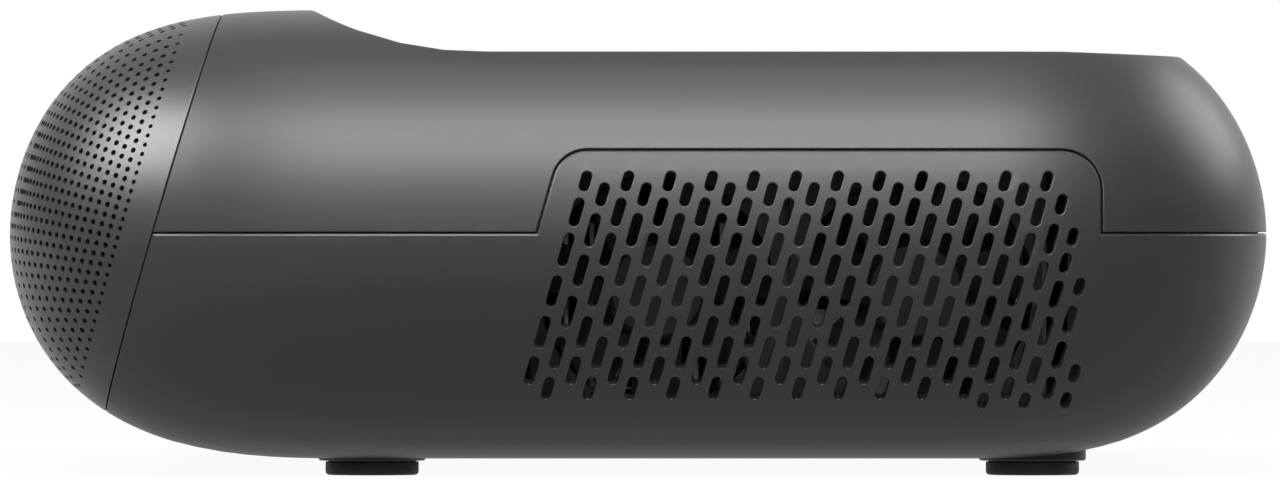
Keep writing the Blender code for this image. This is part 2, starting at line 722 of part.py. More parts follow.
def make_window(upper):
    low = DECK_HEIGHT - BEZEL_HEIGHT
    ledge = low + GLASS_THICKNESS + CLEAR
    cut(upper, add_cutter("window_hole", window_box("hole", -CLEAR, low - OVERRUN, DECK_HEIGHT + OVERRUN)))
    bezel = add_part("window_bezel", window_box("window_bezel", 0, low, DECK_HEIGHT), "black_plastic")
    cut(bezel, add_cutter("bezel_opening", window_box("opening", BEZEL_RIM, low - OVERRUN, DECK_HEIGHT + OVERRUN)))
    cut(bezel, add_cutter("bezel_rebate", window_box("rebate", BEZEL_LEDGE, low - OVERRUN, ledge)))
    glass = window_box("projection_window", BEZEL_LEDGE + CLEAR, low, low + GLASS_THICKNESS)
    add_part("projection_window", glass, "window_glass")


# sockets

def port_box(name, x, width, height, near_y, far_y):
    return box_mesh(
        name, (x - width / 2, near_y, SOCKET_HEIGHT - height / 2),
        (x + width / 2, far_y, SOCKET_HEIGHT + height / 2))


def make_port(name, x, size, mouth, depth, finish, tongues, tray):
    """A socket body through the tray's panel, with its mouth cut and its tongues left standing."""
    width, height = size
    near = BOARD_REAR_Y + CLEAR
    far = TRAY_PANEL_Y + SOCKET_PROUD
    body = add_part(name, port_box(name, x, width, height, near, far), finish)
    cavity = add_cutter(name + "_mouth", port_box("mouth", x, mouth[0], mouth[1], far - depth, far + OVERRUN))
    for i, (offset_x, offset_z, tongue_width, tongue_height) in enumerate(tongues):
        tongue = box_mesh(
            "tongue", (x + offset_x - tongue_width / 2, near, SOCKET_HEIGHT + offset_z - tongue_height / 2),
            (x + offset_x + tongue_width / 2, far - SOCKET_PROUD * 4, SOCKET_HEIGHT + offset_z + tongue_height / 2))
        cut(cavity, add_cutter("%s_tongue_%d" % (name, i), tongue))
    cut(body, cavity)
    hole = port_box("hole", x, width + CLEAR * 2, height + CLEAR * 2, near, far + OVERRUN)
    cut(tray, add_cutter(name + "_hole", hole))


def make_sockets(lower, solid):
    """A tray set into the rear, its panel, the ports and the board that carries them."""
    rear = BODY_DEPTH / 2 + OVERRUN
    front = TRAY_PANEL_Y - TRAY_PANEL_THICKNESS
    hole = box_mesh(
        "tray_hole", (-TRAY_HALF_WIDTH - CLEAR, front - OVERRUN, TRAY_LOW - CLEAR),
        (TRAY_HALF_WIDTH + CLEAR, rear, TRAY_HIGH + CLEAR))
    cut(lower, add_cutter("tray_hole", hole))
    tray = add_part("rear_socket_tray", box_mesh(
        "rear_socket_tray", (-TRAY_HALF_WIDTH, front, TRAY_LOW),
        (TRAY_HALF_WIDTH, rear, TRAY_HIGH)), "black_plastic")
    keep_inside(tray, solid)
    pocket = box_mesh(
        "tray_pocket", (TRAY_WALL - TRAY_HALF_WIDTH, TRAY_PANEL_Y, TRAY_LOW + TRAY_WALL),
        (TRAY_HALF_WIDTH - TRAY_WALL, rear + OVERRUN, TRAY_HIGH - TRAY_WALL))
    cut(tray, add_cutter("tray_pocket", pocket))
    boss_height = (TRAY_LOW + TRAY_HIGH) / 2
    for sign in (-1, 1):
        boss = cylinder_mesh(
            "boss", TRAY_BOSS_RADIUS, (sign * TRAY_BOSS_X, BOARD_REAR_Y + CLEAR, boss_height),
            (sign * TRAY_BOSS_X, TRAY_PANEL_Y - TRAY_PANEL_THICKNESS / 2, boss_height), segments=12)
        join(tray, add_cutter("tray_boss_%d" % sign, boss))
    for i, x in enumerate(VIDEO_PLACES):
        make_port("hdmi_port_%d" % (i + 1), x, VIDEO_SIZE, VIDEO_MOUTH, SOCKET_DEPTH,
                  "socket_metal", [VIDEO_TONGUE], tray)
    for i, x in enumerate(DATA_PLACES):
        make_port("usb_port_%d" % (i + 1), x, DATA_SIZE, DATA_MOUTH, SOCKET_DEPTH,
                  "socket_metal", [DATA_TONGUE], tray)
    make_port("lan_port", NETWORK_X, NETWORK_SIZE, NETWORK_MOUTH, NETWORK_DEPTH, "socket_metal", [], tray)
    make_port("power_inlet", INLET_X, INLET_SIZE, INLET_MOUTH, INLET_DEPTH, "socket_plastic", INLET_PINS, tray)
    make_audio_jack(tray)
    add_part("main_board", box_mesh(
        "main_board", (-BOARD_HALF_WIDTH, BOARD_REAR_Y - BOARD_THICKNESS, BOARD_LOW),
        (BOARD_HALF_WIDTH, BOARD_REAR_Y, BOARD_HIGH)), "board_green")


def make_audio_jack(tray):
    near = (AUDIO_X, BOARD_REAR_Y + CLEAR, SOCKET_HEIGHT)
    far = (AUDIO_X, TRAY_PANEL_Y + SOCKET_PROUD, SOCKET_HEIGHT)
    past = (AUDIO_X, far[1] + OVERRUN, SOCKET_HEIGHT)
    stop = (AUDIO_X, far[1] - NETWORK_DEPTH, SOCKET_HEIGHT)
    jack = add_part("audio_jack", cylinder_mesh("audio_jack", AUDIO_RADIUS, near, far, 16), "socket_plastic")
    cut(jack, add_cutter("audio_bore", cylinder_mesh("bore", AUDIO_BORE_RADIUS, stop, past, 12)))
    cut(tray, add_cutter("audio_hole", cylinder_mesh("hole", AUDIO_RADIUS + CLEAR, near, past, 16)))


# chassis and what stands on it

def chassis_top():
    return UNDERSIDE_HEIGHT + WALL + CLEAR + CHASSIS_SHEET


def seat():
    return chassis_top() + CLEAR


def make_chassis():
    low = UNDERSIDE_HEIGHT + WALL + CLEAR
    chassis = add_part("chassis", box_mesh(
        "chassis", (-CHASSIS_HALF_WIDTH, CHASSIS_FRONT_Y, low),
        (CHASSIS_HALF_WIDTH, CHASSIS_REAR_Y, low + CHASSIS_SHEET)), "sheet_steel")
    for sign in (-1, 1):
        inner = sign * (CHASSIS_HALF_WIDTH - CHASSIS_SHEET)
        outer = sign * CHASSIS_HALF_WIDTH
        flange = box_mesh(
            "flange", (min(inner, outer), FLANGE_FRONT_Y, low + CHASSIS_SHEET * FLANGE_OVERLAP_SHARE),
            (max(inner, outer), FLANGE_REAR_Y, FLANGE_TOP))
        join(chassis, add_cutter("flange_%d" % sign, flange))
    for index, (sign, y) in enumerate(fan_places()):
        start = (sign * (CHASSIS_HALF_WIDTH - OVERRUN), y, FAN_HEIGHT)
        end = (sign * (CHASSIS_HALF_WIDTH + OVERRUN), y, FAN_HEIGHT)
        cut(chassis, add_cutter("fan_hole_%d" % (index + 1), cylinder_mesh("hole", FAN_BORE_RADIUS, start, end)))


def fan_places():
    return [(1, FAN_PLACES_Y[0]), (1, FAN_PLACES_Y[1]), (-1, FAN_PLACES_Y[0])]


def make_fan(index, sign, y):
    """Frame with three struts and a motor base, and a rotor that turns in front of it."""
    inner = CHASSIS_HALF_WIDTH + CLEAR
    outer = inner + FAN_DEPTH
    half = FAN_SIZE / 2

    def at(distance):
        return (sign * distance, y, FAN_HEIGHT)

    frame = add_part("fan_frame_%d" % index, box_mesh(
        "fan_frame", (min(sign * inner, sign * outer), y - half, FAN_HEIGHT - half),
        (max(sign * inner, sign * outer), y + half, FAN_HEIGHT + half)), "fan_black")
    bore = cylinder_mesh("bore", FAN_BORE_RADIUS, at(inner - OVERRUN), at(outer + OVERRUN))
    cut(frame, add_cutter("fan_bore_%d" % index, bore))
    base = cylinder_mesh("base", FAN_HUB_RADIUS, at(inner), at(inner + FAN_BASE_DEPTH), 16)
    join(frame, add_cutter("fan_base_%d" % index, base))
    for strut in range(FAN_STRUTS):
        bm = bmesh.new()
        bmesh.ops.create_cube(bm, size=1)
        reach = FAN_BORE_RADIUS + WALL - FAN_HUB_RADIUS / 2
        bmesh.ops.scale(bm, vec=(FAN_BASE_DEPTH * STRUT_DEPTH_SHARE, FAN_STRUT_WIDTH, reach), verts=bm.verts)
        bmesh.ops.translate(bm, vec=(0, 0, FAN_HUB_RADIUS / 2 + reach / 2), verts=bm.verts)
        turn = Matrix.Rotation(math.tau * (strut + STRUT_TURN_SHARE) / FAN_STRUTS, 4, "X")
        bm.transform(Matrix.Translation(at(inner + FAN_BASE_DEPTH / 2)) @ turn)
        join(frame, add_cutter("fan_strut_%d_%d" % (index, strut), mesh_from(bm, "strut")))
    make_rotor(index, sign, Vector(at(inner + FAN_BASE_DEPTH + CLEAR)))


def make_rotor(index, sign, base):
    turn = axis_turn((sign, 0, 0))
    place = Matrix.Translation(base) @ turn
    hub = turned("fan_rotor_%d" % index, [
        (0, FAN_HUB_DEPTH), (FAN_HUB_RADIUS * HUB_EDGE_SHARE, FAN_HUB_DEPTH),
        (FAN_HUB_RADIUS, FAN_HUB_DEPTH * HUB_EDGE_SHARE), (FAN_HUB_RADIUS, 0), (0, 0)], place, "fan_black", 16)
    for blade in range(FAN_BLADES):
        bm = bmesh.new()
        bmesh.ops.create_cube(bm, size=1)
        start = FAN_HUB_RADIUS * BLADE_ROOT_SHARE
        reach = FAN_BLADE_RADIUS - start
        bmesh.ops.scale(bm, vec=(reach, FAN_BLADE_CHORD, FAN_BLADE_THICKNESS), verts=bm.verts)
        bm.transform(Matrix.Rotation(FAN_BLADE_PITCH, 4, "X"))
        bmesh.ops.translate(bm, vec=(start + reach / 2, 0, FAN_HUB_DEPTH / 2), verts=bm.verts)
        bm.transform(place @ Matrix.Rotation(math.tau * blade / FAN_BLADES, 4, "Z"))
        join(hub, add_cutter("fan_blade_%d_%d" % (index, blade), mesh_from(bm, "blade")))


def make_heat_sink(name, sign, centre_y):
    low = seat()
    inner, outer = sorted((sign * SINK_INNER_X, sign * SINK_OUTER_X))
    sink = add_part(name, box_mesh(
        name, (inner, centre_y - SINK_HALF_DEPTH, low), (outer, centre_y + SINK_HALF_DEPTH, low + SINK_HEIGHT)),
        "fin_alloy")
    gap = (2 * SINK_HALF_DEPTH - SINK_FINS * SINK_FIN_THICKNESS) / (SINK_FINS - 1)
    for i in range(SINK_FINS - 1):
        start = centre_y - SINK_HALF_DEPTH + SINK_FIN_THICKNESS + i * (SINK_FIN_THICKNESS + gap)
        channel = box_mesh(
            "channel", (inner - OVERRUN, start, low + SINK_BASE),
            (outer + OVERRUN, start + gap, low + SINK_HEIGHT + OVERRUN))
        cut(sink, add_cutter("%s_channel_%d" % (name, i), channel))


def make_boxes():
    """Light engine, laser block and power supply, all standing on the chassis."""
    low = seat()
    engine = add_part("light_engine", box_mesh(
        "light_engine", (-ENGINE_HALF_WIDTH, ENGINE_FRONT_Y, low),
        (ENGINE_HALF_WIDTH, ENGINE_REAR_Y, low + ENGINE_HEIGHT)), "cast_alloy")
    laser = add_part("laser_module", box_mesh(
        "laser_module", (-LASER_HALF_WIDTH, ENGINE_REAR_Y + CLEAR, low),
        (LASER_HALF_WIDTH, LASER_REAR_Y, low + LASER_HEIGHT)), "cast_alloy")
    supply = add_part("power_supply", box_mesh(
        "power_supply", (SUPPLY_INNER_X, SUPPLY_FRONT_Y, low),
        (SINK_OUTER_X, SUPPLY_REAR_Y, low + SUPPLY_HEIGHT)), "sheet_steel")
    for case in (engine, laser, supply):
        bevel(case, CASE_EDGE)


def make_phosphor_wheel():
    def at(distance):
        return (-ENGINE_HALF_WIDTH - distance, WHEEL_Y, WHEEL_HEIGHT)
    motor_end = CLEAR + WHEEL_MOTOR_LENGTH
    add_part("wheel_motor", cylinder_mesh(
        "wheel_motor", WHEEL_MOTOR_RADIUS, at(CLEAR), at(motor_end), 16), "lens_black")
    disc_start = motor_end + CLEAR
    add_part("phosphor_wheel", cylinder_mesh(
        "phosphor_wheel", WHEEL_RADIUS, at(disc_start), at(disc_start + WHEEL_THICKNESS)), "mirror_coat")


def make_lens():
    def at(y, x=0):
        return (x, y, LENS_HEIGHT)
    rear = ENGINE_FRONT_Y - CLEAR
    barrel = add_part("lens_barrel", cylinder_mesh(
        "lens_barrel", LENS_RADIUS, at(rear), at(LENS_FRONT_Y)), "lens_black")
    mouth = cylinder_mesh("mouth", LENS_BORE_RADIUS, at(LENS_FRONT_Y + LENS_BORE_DEPTH), at(LENS_FRONT_Y - OVERRUN))
    cut(barrel, add_cutter("lens_mouth", mouth))
    ring = add_part("focus_ring", cylinder_mesh(
        "focus_ring", RING_RADIUS, at(RING_REAR_Y), at(RING_FRONT_Y)), "button_grey")
    bore = cylinder_mesh("bore", LENS_RADIUS + CLEAR, at(RING_REAR_Y + OVERRUN), at(RING_FRONT_Y - OVERRUN))
    cut(ring, add_cutter("ring_bore", bore))
    drive_x = RING_RADIUS + PINION_RADIUS + CLEAR
    add_part("focus_pinion", cylinder_mesh(
        "focus_pinion", PINION_RADIUS, at(RING_REAR_Y, drive_x), at(RING_FRONT_Y, drive_x), 16), "socket_metal")
    add_part("focus_motor", cylinder_mesh(
        "focus_motor", FOCUS_MOTOR_RADIUS, at(rear, drive_x), at(RING_REAR_Y + CLEAR, drive_x), 16), "sheet_steel")


def make_mirror():
    """Concave mirror that faces back and up, on a bent sheet bracket."""
    place = Matrix.Translation((0, MIRROR_Y, MIRROR_HEIGHT)) @ Matrix.Rotation(MIRROR_TILT, 4, "X")
    half = (MIRROR_HALF_WIDTH, MIRROR_THICKNESS / 2, MIRROR_HALF_HEIGHT)
    mesh = box_mesh("mirror", tuple(-value for value in half), half)
    mesh.transform(place)
    mirror = add_part("mirror", mesh, "mirror_coat")
    bm = bmesh.new()
    bmesh.ops.create_uvsphere(bm, u_segments=48, v_segments=24, radius=MIRROR_RADIUS)
    bm.transform(place @ Matrix.Translation((0, half[1] - MIRROR_SAG + MIRROR_RADIUS, 0)))
    cut(mirror, add_cutter("mirror_sphere", mesh_from(bm, "mirror_sphere")))
    near = -half[1] - CLEAR
    sheet = box_mesh(
        "mirror_bracket", (-half[0], near - BRACKET_THICKNESS, -BRACKET_REACH), (half[0], near, half[2]))
    sheet.transform(place)
    bracket = add_part("mirror_bracket", sheet, "sheet_steel")
    floor = add_cutter("bracket_floor", box_mesh(
        "floor", (-BODY_WIDTH / 2, -BODY_DEPTH / 2, -OVERRUN), (BODY_WIDTH / 2, BODY_DEPTH / 2, seat())))
    foot = box_mesh(
        "foot", (-half[0], CHASSIS_FRONT_Y, seat()),
        (half[0], CHASSIS_FRONT_Y + BRACKET_FOOT_DEPTH, seat() + BRACKET_THICKNESS))
    join(bracket, add_cutter("bracket_foot", foot))
    cut(bracket, floor)


# speakers

def driver_place(x):
    """Frame on the front of the baffle whose +Z points out through the grille."""
    y = seam_y(DRIVER_HEIGHT, BAFFLE_SETBACK)
    turn = Matrix.Rotation(math.pi / 2 - SEAM_LEAN, 4, "X")
    return Matrix.Translation((x, y, DRIVER_HEIGHT)) @ turn


def make_driver_hole(baffle, name, radius, place):
    bm = bmesh.new()
    bmesh.ops.create_cone(
        bm, cap_ends=True, segments=ROUND_SEGMENTS, radius1=radius, radius2=radius, depth=OVERRUN * 2)
    bm.transform(place)
    cut(baffle, add_cutter(name, mesh_from(bm, name)))


def make_woofer(baffle, side, place):
    throat = WOOFER_RADIUS - WOOFER_RIM
    make_driver_hole(baffle, "woofer_hole_" + side, throat + CLEAR, place)
    rim_top = CLEAR + DRIVER_RIM_THICKNESS
    outer = [
        (throat - BASKET_WALL, rim_top), (WOOFER_RADIUS, rim_top), (WOOFER_RADIUS, CLEAR), (throat, CLEAR),
        (throat, -BAFFLE_THICKNESS), (MAGNET_RADIUS, -WOOFER_DEPTH * BASKET_SHOULDER_SHARE), (MAGNET_RADIUS, -WOOFER_DEPTH),
        (0, -WOOFER_DEPTH),
    ]
    floor = -WOOFER_DEPTH * BASKET_FLOOR_SHARE
    inner = [(0, floor), (MAGNET_RADIUS - BASKET_WALL, floor), (throat - BASKET_WALL, -BAFFLE_THICKNESS + BASKET_WALL)]
    turned("woofer_" + side, inner + outer, place, "black_plastic")
    edge = throat - BASKET_WALL - CLEAR
    cap = edge * CONE_CAP_SHARE
    front = [(0, rim_top - CONE_DEPTH * CAP_TOP_SHARE), (cap, rim_top - CONE_DEPTH * CAP_RIM_SHARE), (edge, rim_top)]
    back = [(radius, height - CONE_THICKNESS) for radius, height in reversed(front)]
    turned("woofer_cone_" + side, front + back, place, "cone_black")


def make_tweeter(baffle, side, place):
    throat = TWEETER_RADIUS - WOOFER_RIM
    make_driver_hole(baffle, "tweeter_hole_" + side, throat + CLEAR, place)
    rim_top = CLEAR + DRIVER_RIM_THICKNESS
    turned("tweeter_" + side, [
        (0, rim_top), (DOME_RADIUS * DOME_SHOULDER_SHARE, rim_top * DOME_HEIGHT_SHARE), (DOME_RADIUS, rim_top / 2),
        (DOME_RADIUS + BASKET_WALL, rim_top), (TWEETER_RADIUS, rim_top), (TWEETER_RADIUS, CLEAR),
        (throat, CLEAR), (throat, -TWEETER_DEPTH), (0, -TWEETER_DEPTH)], place, "black_plastic")


def make_speakers(fit):
    low, high = UNDERSIDE_HEIGHT - OVERRUN, BODY_TOP + OVERRUN
    back = BAFFLE_SETBACK + BAFFLE_THICKNESS
    outline = [(seam_y(low, BAFFLE_SETBACK), low), (seam_y(high, BAFFLE_SETBACK), high),
               (seam_y(high, back), high), (seam_y(low, back), low)]
    baffle = add_part("speaker_baffle", prism_mesh(
        "speaker_baffle", [outline], BODY_WIDTH / 2 + OVERRUN), "black_plastic")
    keep_inside(baffle, fit)
    for side, sign in (("left", -1), ("right", 1)):
        make_woofer(baffle, side, driver_place(sign * WOOFER_X))
        make_tweeter(baffle, side, driver_place(sign * TWEETER_X))


clear_scene()
PARTS = new_collection("laser_projector")
CUTTERS = new_collection("cutters")
make_finishes()

body = body_solid("body_solid", 0)
hollow = body_solid("body_hollow", WALL)
upper_housing, lower_housing = make_shells(body, hollow)
make_feet(lower_housing, body_solid("foot_skin", -CLEAR))
make_control_strip(upper_housing, body_solid("strip_skin", -STRIP_PROUD))
make_window(upper_housing)
make_sockets(lower_housing, body)
make_chassis()
for number, (fan_side, fan_y) in enumerate(fan_places()):
    make_fan(number + 1, fan_side, fan_y)
make_heat_sink("heat_sink_right", 1, FAN_PLACES_Y[0])
make_heat_sink("heat_sink_left", -1, FAN_PLACES_Y[0])
make_boxes()
make_phosphor_wheel()
make_lens()
make_mirror()
make_speakers(body_solid("body_fit", WALL + CLEAR))
for part in PARTS.objects:
    shade_round(part)
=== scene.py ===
"""Ultra short throw laser projector, dressed for the picture.

Every shell is a surface of two chart values: how far round the body, and how far up it.
The right half is worked out and then mirrored, because the shells are the same on both sides.
"""

import math

import bmesh
import bpy
import numpy as np
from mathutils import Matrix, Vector
from mathutils.geometry import delaunay_2d_cdt


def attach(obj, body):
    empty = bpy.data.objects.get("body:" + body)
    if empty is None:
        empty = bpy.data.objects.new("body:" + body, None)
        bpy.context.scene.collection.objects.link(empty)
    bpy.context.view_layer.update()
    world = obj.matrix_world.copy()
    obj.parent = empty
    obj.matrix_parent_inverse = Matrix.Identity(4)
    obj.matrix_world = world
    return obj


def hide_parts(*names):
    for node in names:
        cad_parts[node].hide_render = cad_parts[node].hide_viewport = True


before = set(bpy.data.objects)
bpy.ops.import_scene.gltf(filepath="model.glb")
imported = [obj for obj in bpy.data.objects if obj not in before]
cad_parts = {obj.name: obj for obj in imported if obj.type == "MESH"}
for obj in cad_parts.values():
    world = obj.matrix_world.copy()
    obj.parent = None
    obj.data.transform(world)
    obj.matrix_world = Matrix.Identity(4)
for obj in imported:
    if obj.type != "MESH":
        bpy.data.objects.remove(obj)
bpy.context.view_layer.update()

MM = 0.001
QUARTER = math.pi / 2

# body, with the same numbers as the solids
BODY_WIDTH = 606 * MM
BODY_DEPTH = 400 * MM
BODY_TOP = 148.2 * MM
WAIST_HEIGHT = 76.7 * MM
UNDERSIDE_HEIGHT = 5.4 * MM
WALL = 2.5 * MM
SIDE_ROUND = 71 * MM
FRONT_ROUND = 110.8 * MM
REAR_ROUND = 94.5 * MM
SIDE_CURVE_SHARES = ((2.0, 0.5), (2.0, 0.5))
FRONT_CURVE_SHARES = ((1.917, 0.29), (2.014, 0.334))
REAR_CURVE_SHARES = ((1.9, 0.337), (1.929, 0.354))
TOP_UP = SIDE_ROUND * QUARTER
CORNER_X = BODY_WIDTH / 2 - SIDE_ROUND
CORNER_FRONT_Y = FRONT_ROUND - BODY_DEPTH / 2
CORNER_REAR_Y = BODY_DEPTH / 2 - REAR_ROUND

# deck and ramp
DECK_HEIGHT = 134.5 * MM
RAMP_RADIUS = 110 * MM
RAMP_FOOT_Y = -50.4 * MM
DECK_FALL_Y = 134 * MM
DECK_END_Y = 172.5 * MM
DECK_FALL = 1.3 * MM

# joints between the shells
PARTING_HEIGHT = 77.1 * MM
PARTING_GAP = 0.4 * MM
SEAM_Y = -152.8 * MM
SEAM_LEAN = math.radians(16.3)
SEAM_GAP = 0.35 * MM
EDGE = 0.45 * MM
SLOT_EDGE = 0.3 * MM
BEND_SHARE = 0.3
JOINT_EDGE = 0.8 * MM
JOINT_LIP = 2.5 * MM
JOINT_LIP_THICKNESS = 1.2 * MM
LIP_EDGE = 0.1 * MM
DECK_LIP_SHARE = 0.4

# side vents
TONGUE_TOP = 103.3 * MM
TONGUE_FRONT_Y = -31.7 * MM
TONGUE_REAR_Y = 145.6 * MM
TONGUE_FRONT_RADIUS = 10.8 * MM
TONGUE_REAR_RADIUS = 12.5 * MM
VENT_LEAN = math.radians(15.9)
VENT_LOW = 21.8 * MM
VENT_HIGH = 96.5 * MM
VENT_FIRST_Y = -15.6 * MM
VENT_PITCH = 6.58 * MM
VENT_WIDTH = 3.2 * MM
EVEN_SLOT_SHARES = (
    (0.959, 0.042), (0.829, 0.059), (0.671, 0.070),
    (0.495, 0.067), (0.323, 0.068), (0.162, 0.059),
)
ODD_SLOT_SHARES = (
    (0.903, 0.049), (0.754, 0.069), (0.583, 0.067),
    (0.409, 0.067), (0.237, 0.068), (0.087, 0.048),
)
LOW_SLOT_SHARES = ((0.034, 0.034),)
LAST_SLOT_SHARES = (
    ((0.862, 0.042), (0.716, 0.063), (0.560, 0.063), (0.386, 0.063), (0.225, 0.063), (0.087, 0.048)),
    ((0.724, 0.038), (0.615, 0.042), (0.481, 0.059), (0.326, 0.063), (0.162, 0.059), (0.034, 0.034)),
    ((0.514, 0.038), (0.376, 0.059), (0.225, 0.059), (0.087, 0.048)),
    ((0.149, 0.038), (0.034, 0.034)),
)
FULL_SLOT_COLUMNS = 23
SLOT_STEPS = 7
TONGUE_STEPS = 9

# feet
FOOT_X = 215 * MM
FOOT_FRONT_Y = -85 * MM
FOOT_REAR_Y = 126 * MM
FOOT_RADIUS = 14.9 * MM
FOOT_HEIGHT = 4.3 * MM
FOOT_EDGE = 1.2 * MM
FOOT_TOP_EDGE = 0.3 * MM
FOOT_NECK_RADIUS = 14 * MM
FOOT_NECK_TOP = 4.55 * MM
FOOT_STEM_RADIUS = 6 * MM
FOOT_STEM_TOP = 16 * MM
FOOT_HOLE_RADIUS = 9.3 * MM
COLLAR_RADIUS = 17.1 * MM
FOOT_GROOVE_SHARES = ((0, 0), (0.55, 0), (0.58, 0.5), (0.66, 0.5), (0.69, 0))
FOOT_STEPS = 5
FOOT_HOLE_COUNT = 32
COLLAR_LOW = 4.6 * MM
COLLAR_SUNK = 0.2 * MM
DISH_HEIGHT = 11 * MM

# control strip
STRIP_HALF_LENGTH = 110 * MM
STRIP_FRONT_Y = -127.5 * MM
STRIP_REAR_Y = -108.6 * MM
STRIP_MIDDLE_Y = (STRIP_FRONT_Y + STRIP_REAR_Y) / 2
STRIP_PROUD = 0.3 * MM
STRIP_THICKNESS = 1.3 * MM
STRIP_MARGIN = 0.3 * MM
BUTTON_RADIUS = 4.5 * MM
BUTTON_TOP = 148.2 * MM
BUTTON_LENGTH = 5.6 * MM
BUTTON_DISH = 0.25 * MM
BUTTON_DISH_SHARES = ((0.8, 0.4), (0.5, 0.9))
BUTTON_HOLE_COUNT = 40
BUTTON_PLACES = {
    "source_button": -36 * MM,
    "volume_down_button": -12 * MM,
    "volume_up_button": 12 * MM,
    "power_button": 36 * MM,
}

# window and sockets
WINDOW_HALF_WIDTH = 85.3 * MM
WINDOW_FRONT_Y = -40.3 * MM
WINDOW_REAR_Y = 35.3 * MM
TRAY_HALF_WIDTH = 150.3 * MM
TRAY_LOW = 25.7 * MM
TRAY_HIGH = 70.3 * MM

# perforated grille
FAN_CENTRE = (-24.5 * MM, 45.2 * MM)
FIRST_RING = 10.2 * MM
RING_START = math.radians(30.5)
RING_STEP = math.radians(2.95)
RING_COUNT = 20
RING_PITCH = 3.05 * MM
FRONT_PITCH = 3.6 * MM
HOLE_RADIUS = 0.95 * MM
FIRST_HOLE_RADIUS = 0.78 * MM
FIRST_GAP_SHARE = 0.55
LAST_GAP_SHARE = 0.8
EXTRA_HOLES = 6
HOLE_SIDES = 8
CELL_SIDES = 6
MARGIN_STEPS = 5
SHEET = 1.2 * MM
CLOTH = 0.4 * MM
CLOTH_EDGE = 0.05 * MM
CLOTH_SETBACK = 1 * MM
STRAIGHT_X = 100 * MM
ROW_SEARCH_LOW = 10 * MM
ROW_SEARCH_HIGH = BODY_TOP - 1 * MM
ROW_SEARCH_COUNT = 4000

# spacing of the triangulated points
FINE = 3.0 * MM
PROFILE_COUNT = 20000
PROFILE_END_SHARE = 0.2
NUDGE_SHARES = (0.37, 0.41)
DISH_GRID = (9 * MM, 8 * MM)
DECK_GRID = (11 * MM, 5 * MM)
CHEEK_GRID = (2.6 * MM, 2.6 * MM)
CHEEK_INSET = 1 * MM
COARSE = 14 * MM
LINE_STEP = 4 * MM
WELD = 0.01 * MM
SLOPE_STEP = 0.02 * MM
ROUND_COUNT = 72
HALVINGS = 50
TINY = 1e-9
MITRE_LIMIT = 0.3
MEETING_REACH = 1e-5
SHELL_SHARP = 15
TURNED_SHARP = 35

# added to a vertex number on a sheet's back until the back has its place in the list
BACK = 10 ** 8

# camera
CAMERA_DISTANCE = 4.76
CAMERA_HEIGHT = 0.0739
CAMERA_Y = 0.0006
LENS = 400
SENSOR = 36
CAMERA_REACH = 100

# table, light round the table and lamps: name, place, aim, size and watts
FLOOR_REACH = 6.0
FLOOR_FRONT = 6.0
FLOOR_GLOW = 0.94
FLOOR_GREY = (0.6, 0.6, 0.6)
FLOOR_ROUGHNESS = 0.9
FLOOR_SWEEP = (0.05, 0.4)
FLOOR_GLOSS = (1.0, 0.12)
WORLD_SWEEP = (-0.9, -0.1)
WORLD_LIGHT = (1.0, 0.03)
LAMPS = (
    ("key_softbox", (1.9, 0, 2.0), (0.25, 0, 0.1), (1.9, 1.6), 92),
    ("low_softbox", (2.6, 0, 0.75), (0.25, 0, 0.1), (1.9, 0.7), 9),
    ("top_softbox", (0.5, 0, 2.5), (0, 0, 0.1), (1.4, 0.9), 9),
    ("front_softbox", (1.0, -1.9, 1.75), (0, 0, 0.1), (1.3, 1.3), 72),
    ("rear_softbox", (-0.8, 2.1, 1.45), (0, 0, 0.1), (1.6, 1.4), 36),
)

# range of a pattern that is used, size and detail of the slow pattern, and its change of shade
PATTERN_RANGE = (0.3, 0.7)
SLOW_PATTERN = (14.0, 4.0)
SHADE_CHANGE = 0.07

# distance round the body at which each stretch of the chart ends
FRONT_ARC = (SIDE_ROUND + FRONT_ROUND) / 2 * QUARTER
REAR_ARC = (SIDE_ROUND + REAR_ROUND) / 2 * QUARTER
ROUND_FRONT = CORNER_X
ROUND_SIDE = ROUND_FRONT + FRONT_ARC
ROUND_REAR = ROUND_SIDE + CORNER_REAR_Y - CORNER_FRONT_Y
ROUND_BACK = ROUND_REAR + REAR_ARC
ROUND_END = ROUND_BACK + CORNER_X


# the body's surface


def width_share(curve, share):
    """(1 - |share| ** power) ** root, with one pair of numbers above the waist and one below it."""
    (power_above, root_above), (power_below, root_below) = curve
    size = np.minimum(np.abs(share), 1)
    above = (1 - size ** power_above) ** root_above
    below = (1 - size ** power_below) ** root_below
    return np.where(share > 0, above, below)


def share_at(height):
    rise = np.asarray(height) - WAIST_HEIGHT
    reach = np.where(rise > 0, BODY_TOP - WAIST_HEIGHT, WAIST_HEIGHT - UNDERSIDE_HEIGHT)
    return np.clip(rise / reach, -1, 1)


def up_at(height):
    """Chart value up the body: the side's radius times the angle whose sine is the height share."""
    return SIDE_ROUND * np.arcsin(share_at(height))


